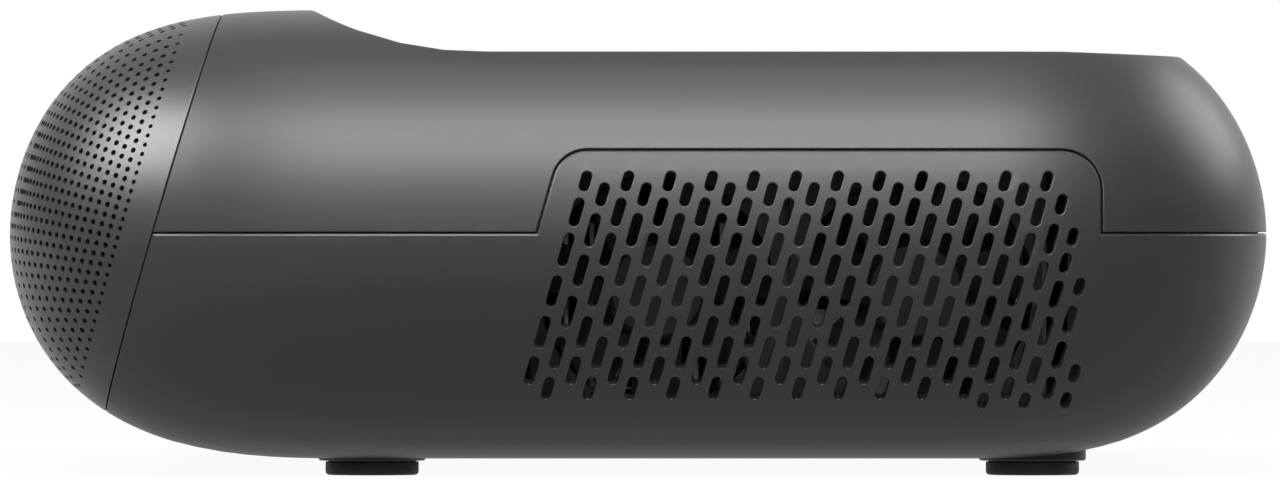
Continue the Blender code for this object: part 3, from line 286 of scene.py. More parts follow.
def bare_skin(around, up):
    """A slice is a rectangle with elliptic corners, and each corner shrinks with the height share."""
    share = np.sin(np.clip(up / SIDE_ROUND, -QUARTER, QUARTER))
    reach = np.where(share > 0, BODY_TOP - WAIST_HEIGHT, WAIST_HEIGHT - UNDERSIDE_HEIGHT)
    front = np.clip((ROUND_SIDE - around) / FRONT_ARC, 0, 1) * QUARTER
    rear = np.clip((around - ROUND_REAR) / REAR_ARC, 0, 1) * QUARTER
    line_x = np.minimum(np.minimum(around, CORNER_X), ROUND_END - around)
    line_y = np.clip(CORNER_FRONT_Y + around - ROUND_SIDE, CORNER_FRONT_Y, CORNER_REAR_Y)
    x = line_x + SIDE_ROUND * width_share(SIDE_CURVE_SHARES, share) * np.cos(front) * np.cos(rear)
    y = line_y - FRONT_ROUND * width_share(FRONT_CURVE_SHARES, share) * np.sin(front)
    y = y + REAR_ROUND * width_share(REAR_CURVE_SHARES, share) * np.sin(rear)
    return np.stack([x, y, WAIST_HEIGHT + share * reach], axis=-1)


def slopes(surface, first, second):
    """Change of a surface's points with each chart value, by central differences."""
    step = SLOPE_STEP
    along = (surface(first + step, second) - surface(first - step, second)) / (2 * step)
    across = (surface(first, second + step) - surface(first, second - step)) / (2 * step)
    return along, across


def unit(vectors):
    length = np.linalg.norm(vectors, axis=-1, keepdims=True)
    return vectors / np.maximum(length, TINY)


def placed(surface, points, sink):
    """Chart points on a surface, moved inwards along its normal by sink."""
    along, across = slopes(surface, points[..., 0], points[..., 1])
    normal = unit(np.cross(along, across))
    sink = np.asarray(sink)[..., None] if np.ndim(sink) else sink
    return surface(points[..., 0], points[..., 1]) - normal * sink


def chart_of(y, z):
    """Chart point on the right side that a place in the side view falls on."""
    y, z = np.asarray(y, float), np.asarray(z, float)
    share = share_at(z)
    front_depth = np.maximum(FRONT_ROUND * width_share(FRONT_CURVE_SHARES, share), WELD)
    rear_depth = np.maximum(REAR_ROUND * width_share(REAR_CURVE_SHARES, share), WELD)
    front = np.arcsin(np.clip((CORNER_FRONT_Y - y) / front_depth, 0, 1)) / QUARTER
    rear = np.arcsin(np.clip((y - CORNER_REAR_Y) / rear_depth, 0, 1)) / QUARTER
    straight = np.clip(y, CORNER_FRONT_Y, CORNER_REAR_Y) - CORNER_FRONT_Y
    around = ROUND_SIDE + straight - FRONT_ARC * front + REAR_ARC * rear
    return np.stack([around, SIDE_ROUND * np.arcsin(share)], axis=-1)


def solve(function, low, high):
    """Halve the interval until the function's rise through zero is found, for whole arrays."""
    for _ in range(HALVINGS):
        middle = (low + high) / 2
        past = function(middle) > 0
        high = np.where(past, middle, high)
        low = np.where(past, low, middle)
    return (low + high) / 2


def deck_height(y):
    """Ramp arc ahead of its foot, flat deck behind it, and a slight fall at the rear."""
    reach = np.clip(RAMP_FOOT_Y - y, 0, RAMP_RADIUS)
    ramp = RAMP_RADIUS - np.sqrt(RAMP_RADIUS ** 2 - reach ** 2)
    fall = np.maximum(y - DECK_FALL_Y, 0) * DECK_FALL / (DECK_END_Y - DECK_FALL_Y)
    return DECK_HEIGHT + ramp - fall


def deck_skin(x, y):
    return np.stack([x, y, deck_height(y)], axis=-1)


def dish_skin(x, y):
    """Underside as a height over the plan: the share at which the corner's ellipse meets the point."""
    out_x = np.maximum(np.abs(x) - CORNER_X, 0)
    front = np.maximum(CORNER_FRONT_Y - y, 0)
    rear = np.maximum(y - CORNER_REAR_Y, 0)

    def outside(share):
        side = SIDE_ROUND * width_share(SIDE_CURVE_SHARES, -share)
        front_depth = FRONT_ROUND * width_share(FRONT_CURVE_SHARES, -share)
        rear_depth = REAR_ROUND * width_share(REAR_CURVE_SHARES, -share)
        terms = (out_x / np.maximum(side, WELD)) ** 2 + (front / np.maximum(front_depth, WELD)) ** 2
        return terms + (rear / np.maximum(rear_depth, WELD)) ** 2 - 1

    share = solve(outside, np.zeros_like(x), np.ones_like(x))
    return np.stack([x, y, WAIST_HEIGHT - share * (WAIST_HEIGHT - UNDERSIDE_HEIGHT)], axis=-1)


# outlines in the charts


def seam_y(height, setback=0):
    return SEAM_Y + (height - PARTING_HEIGHT) * math.tan(SEAM_LEAN) + setback / math.cos(SEAM_LEAN)


def silhouette(height):
    share = share_at(height)
    return CORNER_FRONT_Y - FRONT_ROUND * width_share(FRONT_CURVE_SHARES, share)


def seam_end(setback, high):
    """Height at which the seam plane meets the front's straight part."""
    sign = 1 if high else -1

    def past(distance):
        height = WAIST_HEIGHT + sign * distance
        return silhouette(height) - seam_y(height, setback)

    limit = BODY_TOP - WAIST_HEIGHT if high else WAIST_HEIGHT - UNDERSIDE_HEIGHT
    return float(WAIST_HEIGHT + sign * solve(past, np.array(0.0), np.array(limit)))


def run(start, end, step=LINE_STEP):
    """Even points from start up to, but not including, end."""
    start, end = np.asarray(start, float), np.asarray(end, float)
    count = max(1, int(math.ceil(np.linalg.norm(end - start) / step)))
    return start + (end - start) * (np.arange(count) / count)[:, None]


def seam_run(setback, low, high):
    """The leaning seam from low to high in the chart, with points close together."""
    count = int(math.ceil((high - low) / LINE_STEP * 2))
    heights = low + (high - low) * (1 - np.cos(math.pi * np.arange(count) / count)) / 2
    return chart_of(seam_y(heights, setback), heights)


def tongue_run(grow):
    """Tongue outline from its rear foot over the top to its front foot, in the side view."""
    top = TONGUE_TOP + grow
    front_foot = TONGUE_FRONT_Y - grow
    rear = TONGUE_REAR_Y + grow
    foot = PARTING_HEIGHT + grow
    steps = np.linspace(0, 1, TONGUE_STEPS)
    radius = TONGUE_REAR_RADIUS + grow
    turn = QUARTER * steps
    rear_corner = np.stack(
        [rear - radius + radius * np.cos(turn), top - radius + radius * np.sin(turn)], axis=-1)
    radius = TONGUE_FRONT_RADIUS + grow
    reach = radius * math.tan((QUARTER - VENT_LEAN) / 2)
    corner_y = front_foot + (top - PARTING_HEIGHT) * math.tan(VENT_LEAN)
    turn = QUARTER + (QUARTER - VENT_LEAN) * steps
    front_corner = np.stack(
        [corner_y + reach + radius * np.cos(turn), top - radius + radius * np.sin(turn)], axis=-1)
    pieces = [
        run((rear, foot), rear_corner[0]), rear_corner[:-1], run(rear_corner[-1], front_corner[0]),
        front_corner[:-1], run(front_corner[-1], (front_foot, foot)), np.array([[front_foot, foot]]),
    ]
    side = np.concatenate(pieces)
    return chart_of(side[:, 0], side[:, 1])


def marked(points, mark):
    return points, np.full(len(points), mark)


def outline_of(*stretches):
    """One loop out of its stretches, with more points where it follows the mirror plane."""
    points = np.concatenate([points for points, _ in stretches])
    marks = np.concatenate([marks for _, marks in stretches])
    ahead, next_marks = np.roll(points, -1, axis=0), np.roll(marks, -1)
    loop, kinds = [], []
    for here, there, mark, next_mark in zip(points, ahead, marks, next_marks):
        middle = min(abs(here[0]), abs(here[0] - ROUND_END)) < WELD and abs(here[0] - there[0]) < WELD
        steps = run(here, there) if middle and mark and next_mark else here[None]
        loop.append(steps)
        kinds.append(np.full(len(steps), mark))
    return np.concatenate(loop), np.concatenate(kinds)


def even_rounds():
    """Places round the body that the horizontal joins share, close together only at the corners."""
    stretches = ((0, ROUND_FRONT, COARSE), (ROUND_FRONT, ROUND_SIDE, FINE), (ROUND_SIDE, ROUND_REAR, COARSE),
                 (ROUND_REAR, ROUND_BACK, FINE), (ROUND_BACK, ROUND_END, COARSE))
    pieces = [run((low, 0), (high, 0), step)[:, 0] for low, high, step in stretches]
    return np.concatenate(pieces + [np.array([ROUND_END])])


def level(start, end, up):
    """Points of the shared places between two rounds at one height, in the order start to end."""
    places = even_rounds()
    low, high = min(start, end), max(start, end)
    inner = places[(places > low + WELD) & (places < high - WELD)]
    around = np.concatenate([[low], inner, [high]])
    around = around if start < end else around[::-1]
    return np.stack([around, np.full(len(around), up)], axis=-1)


def deck_edge():
    """Chart points where the body's surface meets the ramp and deck, from the front centre to the rear."""
    around = even_rounds()
    low = np.full(len(around), float(up_at(PARTING_HEIGHT)))
    high = np.full(len(around), TOP_UP)

    def past(up):
        point = bare_skin(around, up)
        return point[:, 2] - deck_height(point[:, 1])

    return np.stack([around, solve(past, low, high)], axis=-1)


def slot_loop(column, centre_share, half_share):
    """Round-ended slot in the side view, clockwise: two half circles at the ends of a leaning line."""
    height = VENT_HIGH - VENT_LOW
    middle = VENT_LOW + centre_share * height
    lean = math.tan(VENT_LEAN)
    centre = np.array([VENT_FIRST_Y + column * VENT_PITCH + (middle - VENT_HIGH) * lean, middle])
    along = np.array([math.sin(VENT_LEAN), math.cos(VENT_LEAN)])
    across = np.array([along[1], -along[0]])
    radius = VENT_WIDTH / 2
    reach = half_share * height / math.cos(VENT_LEAN) - radius
    turn = np.linspace(0, math.pi, SLOT_STEPS)[:, None]
    top = centre + along * reach + radius * (across * -np.cos(turn) + along * np.sin(turn))
    bottom = centre - along * reach + radius * (across * np.cos(turn) - along * np.sin(turn))
    side = np.concatenate([top, bottom])
    return chart_of(side[:, 0], side[:, 1])


def slot_loops():
    loops = []
    for column in range(FULL_SLOT_COLUMNS):
        rows = EVEN_SLOT_SHARES if column % 2 == 0 else ODD_SLOT_SHARES
        if column == FULL_SLOT_COLUMNS - 1:
            rows = rows + LOW_SLOT_SHARES
        loops += [slot_loop(column, *row) for row in rows]
    for extra, rows in enumerate(LAST_SLOT_SHARES):
        loops += [slot_loop(FULL_SLOT_COLUMNS + extra, *row) for row in rows]
    return loops


# surfaces with trimmed edges


def inward(points, marks):
    """Mitred direction into the material at each point of a loop with the material on its left.

    A marked edge, on the mirror plane or joined to another surface, is left out of the mitre."""
    edges = np.roll(points, -1, axis=0) - points
    bare = (marks > 0) & (np.roll(marks, -1) > 0)
    length = np.maximum(np.linalg.norm(edges, axis=1, keepdims=True), TINY)
    normal = np.stack([-edges[:, 1], edges[:, 0]], axis=1) / length
    after = np.where(bare[:, None], 0, normal)
    before = np.roll(after, 1, axis=0)
    total = after + before
    both = (np.linalg.norm(after, axis=1) > 0) & (np.linalg.norm(before, axis=1) > 0)
    stretch = np.where(both, 1 + np.sum(after * before, axis=1), 1)
    return total / np.maximum(stretch, MITRE_LIMIT)[:, None], bare


def triangles_of(loops, inner):
    """Triangles between the first loop and the rest, through the inner points, in millimetres."""
    sizes = [len(loop) for loop in loops]
    starts = np.concatenate([[0], np.cumsum(sizes)])
    points = np.concatenate(list(loops) + [inner]) / MM
    faces = [list(range(starts[i], starts[i + 1])) for i in range(len(loops))]
    faces = faces[:1] + [face[::-1] for face in faces[1:]]
    found = delaunay_2d_cdt([tuple(point) for point in points], [], faces, 1, MEETING_REACH)
    places, _, corners, sources, _, owners = found
    inside = [face for face, owner in zip(corners, owners) if max(owner) == 0]
    triangles = np.array(inside, int)
    chart = np.array([tuple(place) for place in places])
    a, b, c = chart[triangles[:, 0]], chart[triangles[:, 1]], chart[triangles[:, 2]]
    area = (b[:, 0] - a[:, 0]) * (c[:, 1] - a[:, 1]) - (b[:, 1] - a[:, 1]) * (c[:, 0] - a[:, 0])
    triangles[area < 0] = triangles[area < 0][:, ::-1]
    number = np.zeros(len(points), int)
    for output, source in enumerate(sources):
        number[list(source)] = output
    return chart * MM, triangles, [number[starts[i]:starts[i + 1]] for i in range(len(loops))]


def strip(first, second, bare):
    """Quads between two rings of vertex numbers, without the edges that are marked."""
    quads = np.stack([first, second, np.roll(second, -1), np.roll(first, -1)], axis=1)
    return quads[~bare]


def trimmed(surface, loops, inner, edge, base=0.0, wall=WALL):
    """A sheet that follows a surface: rounded edges, walls down to its back, and the back itself."""
    edges = edge if isinstance(edge, list) else [edge] * len(loops)
    widths = [np.broadcast_to(width, len(points)) for (points, _), width in zip(loops, edges)]
    directions = [inward(points, marks) for points, marks in loops]
    first = [points + way * width[:, None] for (points, _), (way, _), width in zip(loops, directions, widths)]
    chart, triangles, numbers = triangles_of(first, inner)
    vertices = [placed(surface, chart, base)]
    faces = [triangles]
    count = len(chart)
    for (points, _), (way, bare), width, ring in zip(loops, directions, widths, numbers):
        last = ring
        rings = ((width * BEND_SHARE, width * BEND_SHARE), (0 * width, width), (0 * width, wall + 0 * width))
        for offset, sink in rings:
            vertices.append(placed(surface, points + way * offset[:, None], base + sink))
            new = count + np.arange(len(points))
            count += len(points)
            faces.append(strip(last, new, bare))
            last = new
        faces.append(strip(last, ring + BACK, bare))
    faces = [np.where(face >= BACK, face - BACK + count, face) for face in faces]
    faces.append(triangles[:, ::-1] + count)
    vertices.append(placed(surface, chart, base + wall))
    return np.concatenate(vertices), faces


def grid_points(low, high, steps):
    """Points of a grid over a chart, nudged so that none lies on an outline."""
    first = np.arange(low[0] + steps[0] * NUDGE_SHARES[0], high[0], steps[0])
    second = np.arange(low[1] + steps[1] * NUDGE_SHARES[1], high[1], steps[1])
    return np.stack(np.meshgrid(first, second), axis=-1).reshape(-1, 2)


def profile_ups(low, high, step):
    """Chart values up the body that are evenly spaced along the front's centre line."""
    ups = np.linspace(low, high, PROFILE_COUNT)
    points = bare_skin(np.zeros(PROFILE_COUNT), ups)
    length = np.concatenate([[0], np.cumsum(np.linalg.norm(np.diff(points, axis=0), axis=1))])
    places = np.arange(step * NUDGE_SHARES[1], length[-1] - step * PROFILE_END_SHARE, step)
    return np.interp(places, length, ups)


def body_points(low, high, step=FINE):
    """Grid over the body's chart, coarse where it is straight and fine at the corners."""
    places = even_rounds()
    middle = (places[1:] + places[:-1]) / 2
    return np.stack(np.meshgrid(middle, profile_ups(low, high, step)), axis=-1).reshape(-1, 2)


# meshes


def tidy(mesh, sharp):
    bm = bmesh.new()
    bm.from_mesh(mesh)
    bmesh.ops.remove_doubles(bm, verts=bm.verts, dist=WELD)
    bmesh.ops.dissolve_degenerate(bm, edges=bm.edges, dist=WELD)
    bm.to_mesh(mesh)
    bm.free()
    mesh.shade_smooth()
    mesh.set_sharp_from_angle(angle=math.radians(sharp))


def add_piece(name, parts, material, body, nodes=(), mirrored=True, sharp=SHELL_SHARP):
    """Parts are vertices with lists of faces; the mirrored copy turns its faces round."""
    vertices, faces, count = [], [], 0
    for points, groups in parts:
        copies = ((1, 1), (-1, -1)) if mirrored else ((1, 1),)
        for side, order in copies:
            vertices.append(points * np.array([side, 1, 1]))
            faces += [(group[:, ::order] + count).tolist() for group in groups]
            count += len(points)
    mesh = bpy.data.meshes.new(name)
    mesh.from_pydata(np.concatenate(vertices).tolist(), [], [face for group in faces for face in group])
    tidy(mesh, sharp)
    mesh.materials.append(material)
    piece = bpy.data.objects.new(name, mesh)
    bpy.context.scene.collection.objects.link(piece)
    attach(piece, body)
    if nodes:
        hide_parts(*nodes)
    return piece


def ring_quads(number):
    """Quads between the rows of a grid of vertex numbers whose rows close on themselves."""
    ahead = np.roll(number, -1, axis=1)
    return np.stack([number[:-1], ahead[:-1], ahead[1:], number[1:]], axis=-1).reshape(-1, 4)


def turned(profile, centre):
    """A profile of radius and height carried round an upright axis, as a grid of quads."""
    profile = np.asarray(profile, float)
    turn = np.arange(ROUND_COUNT) * math.tau / ROUND_COUNT
    x = centre[0] + profile[:, None, 0] * np.cos(turn)
    y = centre[1] + profile[:, None, 0] * np.sin(turn)
    z = np.broadcast_to(profile[:, None, 1], x.shape)
    number = np.arange(x.size).reshape(x.shape)
    return np.stack([x, y, z], axis=-1).reshape(-1, 3), [ring_quads(number)]


# the shells


def lower_shell():
    low = float(up_at(DISH_HEIGHT))
    part = float(up_at(PARTING_HEIGHT))
    setback = SEAM_GAP / 2
    seam_low = seam_end(setback, False)
    seam_part = chart_of(seam_y(PARTING_HEIGHT, setback), PARTING_HEIGHT)
    tongue = tongue_run(0)
    tray_side = ROUND_END - TRAY_HALF_WIDTH
    tray_low, tray_high = float(up_at(TRAY_LOW)), float(up_at(TRAY_HIGH))
    rear_tray = np.array([[tray_side, tray_low], [tray_side, tray_high]])
    seam = seam_run(setback, seam_low, PARTING_HEIGHT)[::-1]
    outline = outline_of(
        marked(level(0, ROUND_END, low), 1),
        marked(np.array([[ROUND_END, tray_low]]), 1),
        marked(rear_tray, 0),
        marked(np.array([[ROUND_END, tray_high], [ROUND_END, part]]), 1),
        marked(level(ROUND_END, tongue[0, 0], part)[1:-1], 0),
        marked(tongue, 0),
        marked(level(tongue[-1, 0], seam_part[0], part)[1:], 0),
        marked(seam[:-1], 0),
        marked(level(ROUND_FRONT, 0, float(up_at(seam_low)))[:-1], 0),
        marked(np.array([[0, float(up_at(seam_low))]]), 1),
    )
    loops = [outline] + [marked(loop, 0) for loop in slot_loops()]
    near_joint = (outline[0][:, 1] > part - WELD) & (outline[1] == 0)
    edges = [np.where(near_joint, JOINT_EDGE, SLOT_EDGE)] + [SLOT_EDGE] * (len(loops) - 1)
    inner = body_points(low, float(up_at(TONGUE_TOP)))
    band = trimmed(bare_skin, loops, inner, edges)
    return [band, dish()]


def joint_border(grow):
    """Line beside the joint between the housings, from the seam over the tongue to the rear centre."""
    up = float(up_at(PARTING_HEIGHT + grow))
    start = chart_of(seam_y(PARTING_HEIGHT + grow, SEAM_GAP), PARTING_HEIGHT + grow)[0]
    tongue = tongue_run(grow)[::-1]
    before, after = level(start, tongue[0, 0], up), level(tongue[-1, 0], ROUND_END, up)
    return np.concatenate([before[:-1], tongue, after[1:]])


def joint_lip():
    """Inner lip behind the joint, so that no light comes through it."""
    low, high = joint_border(-JOINT_LIP), joint_border(JOINT_LIP + PARTING_GAP)[::-1]
    loop = np.concatenate([low, high])
    outline = loop, np.where(loop[:, 0] > ROUND_END - WELD, 1, 0)
    no_points = np.zeros((0, 2))
    return trimmed(bare_skin, [outline], no_points, LIP_EDGE, WALL + LIP_EDGE, JOINT_LIP_THICKNESS)


def dish():
    """Underside below the band, with a round hole for each foot."""
    edge = bare_skin(*level(0, ROUND_END, float(up_at(DISH_HEIGHT))).T)[:, :2]
    loops = [outline_of(marked(edge, 1))]
    turn = -np.arange(FOOT_HOLE_COUNT) * math.tau / FOOT_HOLE_COUNT
    circle = FOOT_HOLE_RADIUS * np.stack([np.cos(turn), np.sin(turn)], axis=-1)
    for y in (FOOT_FRONT_Y, FOOT_REAR_Y):
        loops.append(marked(circle + np.array([FOOT_X, y]), 0))
    inner = grid_points((0, CORNER_FRONT_Y - FRONT_ROUND), (BODY_WIDTH / 2, BODY_DEPTH / 2), DISH_GRID)
    points, groups = trimmed(dish_skin, loops, inner, SLOT_EDGE, wall=-WALL)
    return points, [group[:, ::-1] for group in groups]


def upper_shell():
    part = float(up_at(PARTING_HEIGHT + PARTING_GAP))
    setback = SEAM_GAP / 2
    seam_high = seam_end(setback, True)
    seam_part = chart_of(seam_y(PARTING_HEIGHT + PARTING_GAP, setback), PARTING_HEIGHT + PARTING_GAP)
    seam_top = float(up_at(seam_high))
    tongue = tongue_run(PARTING_GAP)[::-1]
    top = deck_edge()
    lowered = top - np.array([0, EDGE])
    strip_low, strip_high = strip_ups(STRIP_MARGIN)
    strip_side = STRIP_HALF_LENGTH + STRIP_MARGIN
    recess = np.concatenate([
        level(strip_side, 0, strip_high)[::-1], level(strip_side, 0, strip_low)])
    recess_marks = np.where(recess[:, 0] < WELD, 1, 0)
    seam = seam_run(setback, PARTING_HEIGHT + PARTING_GAP, seam_high)[::-1]
    outline = outline_of(
        marked(np.array([[0, seam_top]]), 1),
        marked(level(0, ROUND_FRONT, seam_top)[1:], 0),
        marked(seam, 0),
        marked(level(seam_part[0], tongue[0, 0], part)[1:-1], 0),
        marked(tongue, 0),
        marked(level(tongue[-1, 0], ROUND_END, part)[1:-1], 0),
        marked(np.array([[ROUND_END, part]]), 1),
        marked(lowered[::-1], 1),
        (recess, recess_marks),
    )
    inner = body_points(part, TOP_UP, LINE_STEP / 2)
    band = trimmed(bare_skin, [outline], inner, SLOT_EDGE)
    return [band, deck(top), deck_lip(top)]


def front_up(y):
    """Chart value up the body at which the front's straight part reaches Y."""

    def past(up):
        return bare_skin(np.array(0.0), up)[1] - y

    return float(solve(past, np.array(0.0), np.array(TOP_UP)))


def strip_ups(margin):
    return front_up(STRIP_FRONT_Y - margin), front_up(STRIP_REAR_Y + margin)


def deck_outline(top):
    return bare_skin(top[:, 0], top[:, 1])[:, :2]


def deck_inset(top):
    edge = deck_outline(top)
    marks = np.zeros(len(edge), int)
    marks[[0, -1]] = 1
    way, _ = inward(edge, marks)
    return edge + way * EDGE


def deck(top):
    """Ramp and deck inside their edge, with the window's opening."""
    window = np.array([
        [0, WINDOW_REAR_Y], [WINDOW_HALF_WIDTH, WINDOW_REAR_Y],
        [WINDOW_HALF_WIDTH, WINDOW_FRONT_Y], [0, WINDOW_FRONT_Y]])
    outline = outline_of(marked(deck_inset(top), 1), (window, np.array([1, 0, 0, 1])))
    edge = deck_outline(top)
    inner = grid_points((0, edge[0, 1]), (BODY_WIDTH / 2, BODY_DEPTH / 2), DECK_GRID)
    return trimmed(deck_skin, [outline], inner, EDGE)


def deck_lip(top):
    """Narrow strip that rounds the edge between the body's side and the deck."""
    low = bare_skin(top[:, 0], top[:, 1] - EDGE)
    inset = deck_inset(top)
    high = deck_skin(inset[:, 0], inset[:, 1])
    corner = bare_skin(top[:, 0], top[:, 1])
    middle = corner * DECK_LIP_SHARE + (low + high) / 2 * (1 - DECK_LIP_SHARE)
    rows = np.concatenate([low, middle, high])
    count = len(low)
    first = np.arange(count - 1)
    quads = np.stack([first, first + 1, first + 1 + count, first + count], axis=1)
    return rows, [np.concatenate([quads, quads + count])]


# perforated grille


def ring_distances():
    """Rings a fixed angle apart on a circle of the side's radius, measured square to the seam."""
    latitudes = RING_START + RING_STEP * np.arange(RING_COUNT)
    sines = SIDE_ROUND * np.sin(latitudes)
    return FIRST_RING + sines - sines[0]


def row_rays():
    """Directions from the fan's centre through the evenly spaced holes of the first ring."""
    low, high = seam_end(-FIRST_RING, False), seam_end(-FIRST_RING, True)
    length = (high - low) / math.cos(SEAM_LEAN)
    count = int(length / RING_PITCH)
    margin = (length - count * RING_PITCH) / 2
    heights = low + (margin + RING_PITCH * (np.arange(count) + 0.5)) * math.cos(SEAM_LEAN)
    return np.arctan2(heights - FAN_CENTRE[1], FAN_CENTRE[0] - seam_y(heights, -FIRST_RING))


def row_ups():
    """Chart heights at which the rows of holes reach the front's straight part."""
    ups = np.linspace(float(up_at(ROW_SEARCH_LOW)), float(up_at(ROW_SEARCH_HIGH)), ROW_SEARCH_COUNT)
    points = bare_skin(np.zeros_like(ups), ups)
    angles = np.arctan2(points[:, 2] - FAN_CENTRE[1], FAN_CENTRE[0] - points[:, 1])
    return np.interp(row_rays(), angles, ups)


def on_row(reach, rays):
    """Side view place at a distance along a row's line, and how far out of the straight part it is."""
    y = FAN_CENTRE[0] - reach * np.cos(rays)
    z = FAN_CENTRE[1] + reach * np.sin(rays)
    share = share_at(z)
    depth = np.maximum(FRONT_ROUND * width_share(FRONT_CURVE_SHARES, share), WELD)
    cosine = np.sqrt(np.maximum(1 - ((CORNER_FRONT_Y - y) / depth) ** 2, 0))
    return y, z, SIDE_ROUND * width_share(SIDE_CURVE_SHARES, share) * cosine


def cheek_centres():
    """Rings crossed with rows on the rounded cheek, then even steps up to the front's straight part."""
    rays = row_rays()[:, None]
    distance = ring_distances()[None, :]
    base = seam_y(FAN_CENTRE[1], -distance)
    reach = (FAN_CENTRE[0] - base) / (np.cos(rays) + math.tan(SEAM_LEAN) * np.sin(rays))
    y, z, out = on_row(reach, rays)
    keep = out > FRONT_PITCH * FIRST_GAP_SHARE
    radius = np.where(distance <= FIRST_RING + WELD, FIRST_HOLE_RADIUS, HOLE_RADIUS) + 0 * rays
    last = np.min(np.where(keep, out, SIDE_ROUND), axis=1, keepdims=True)
    places, sizes = [chart_of(y[keep], z[keep])], [radius[keep]]
    for step in range(EXTRA_HOLES):
        wanted = FRONT_PITCH * (FIRST_GAP_SHARE + step)
        far = solve(lambda r: wanted - on_row(r, rays)[2], reach[:, :1], reach[:, :1] + FRONT_ROUND)
        y, z, _ = on_row(far, rays)
        free = wanted < last - FRONT_PITCH * LAST_GAP_SHARE
        places.append(chart_of(y[free], z[free]))
        sizes.append(np.full(int(free.sum()), HOLE_RADIUS))
    return np.concatenate(places), np.concatenate(sizes)


def hole_loops(centres, radius, count):
    """Circles in the tangent plane, written in chart values with the surface's own slopes."""
    along, across = slopes(bare_skin, centres[:, 0], centres[:, 1])
    first = unit(along)
    second = unit(across - first * np.sum(across * first, axis=1, keepdims=True))
    turn = -np.arange(count) * math.tau / count
    flat = first[:, None] * np.cos(turn)[:, None] + second[:, None] * np.sin(turn)[:, None]
    flat = flat * radius[:, None, None]
    pairs = ((along, along), (along, across), (across, across))
    aa, ab, bb = (np.sum(p * q, axis=1)[:, None] for p, q in pairs)
    fa, fb = np.sum(flat * along[:, None], axis=2), np.sum(flat * across[:, None], axis=2)
    scale = aa * bb - ab * ab
    step = np.stack([(fa * bb - fb * ab) / scale, (fb * aa - fa * ab) / scale], axis=-1)
    return centres[:, None] + step


def row_bounds():
    ups = np.sort(row_ups())
    middle = (ups[1:] + ups[:-1]) / 2
    first = ups[0] - (middle[0] - ups[0])
    last = ups[-1] + (ups[-1] - middle[-1])
    return ups, np.concatenate([[first], middle, [last]])


def margin_ups(start, end):
    return np.linspace(start, end, MARGIN_STEPS)


def grille_cheek():
    """Rounded end of the grille, its holes on rings parallel to the seam."""
    setback = -SEAM_GAP / 2
    low, high = seam_end(setback, False), seam_end(setback, True)
    _, bounds = row_bounds()
    up_low, up_high = float(up_at(low)), float(up_at(high))
    column = np.concatenate([
        margin_ups(up_low, bounds[0])[:-1], bounds, margin_ups(bounds[-1], up_high)[1:]])
    join = np.stack([np.full(len(column), ROUND_FRONT), column], axis=-1)[::-1]
    seam = seam_run(setback, low, high)[1:]
    outline = outline_of(marked(join, 1), marked(seam, 0))
    centres, radius = cheek_centres()
    loops = [outline] + [marked(loop, 0) for loop in hole_loops(centres, radius, HOLE_SIDES)]
    reach = chart_of(seam_y(WAIST_HEIGHT), WAIST_HEIGHT)[0]
    inner = grid_points((ROUND_FRONT + CHEEK_INSET, up_low), (reach, up_high), CHEEK_GRID)
    inner = inner[clear_of(inner, centres, HOLE_RADIUS * 2)]
    return perforated(loops, inner)


def clear_of(points, centres, distance):
    gap = np.min(np.linalg.norm(points[:, None] - centres[None], axis=2), axis=1)
    return gap > distance


def perforated(loops, inner):
    """Sheet with plain rims: the outer loop has a rounded edge, and the holes only their walls."""
    (points, marks), holes = loops[0], loops[1:]
    way, bare = inward(points, marks)
    first = [points + way * SLOT_EDGE] + [hole for hole, _ in holes]
    chart, triangles, numbers = triangles_of(first, inner)
    vertices = [placed(bare_skin, chart, 0.0)]
    faces = [triangles]
    count = len(chart)
    last = numbers[0]
    bend = SLOT_EDGE * BEND_SHARE
    for offset, sink in ((bend, bend), (0.0, SLOT_EDGE), (0.0, WALL)):
        vertices.append(placed(bare_skin, points + way * offset, sink))
        new = count + np.arange(len(points))
        count += len(points)
        faces.append(strip(last, new, bare))
        last = new
    rims = np.concatenate([hole for hole, _ in holes])
    vertices.append(placed(bare_skin, rims, SHEET))
    ring = np.stack(numbers[1:])
    deep = count + np.arange(len(rims)).reshape(ring.shape)
    walls = [ring, deep, np.roll(deep, -1, axis=1), np.roll(ring, -1, axis=1)]
    faces.append(np.stack(walls, axis=-1).reshape(-1, 4))
    return np.concatenate(vertices), faces


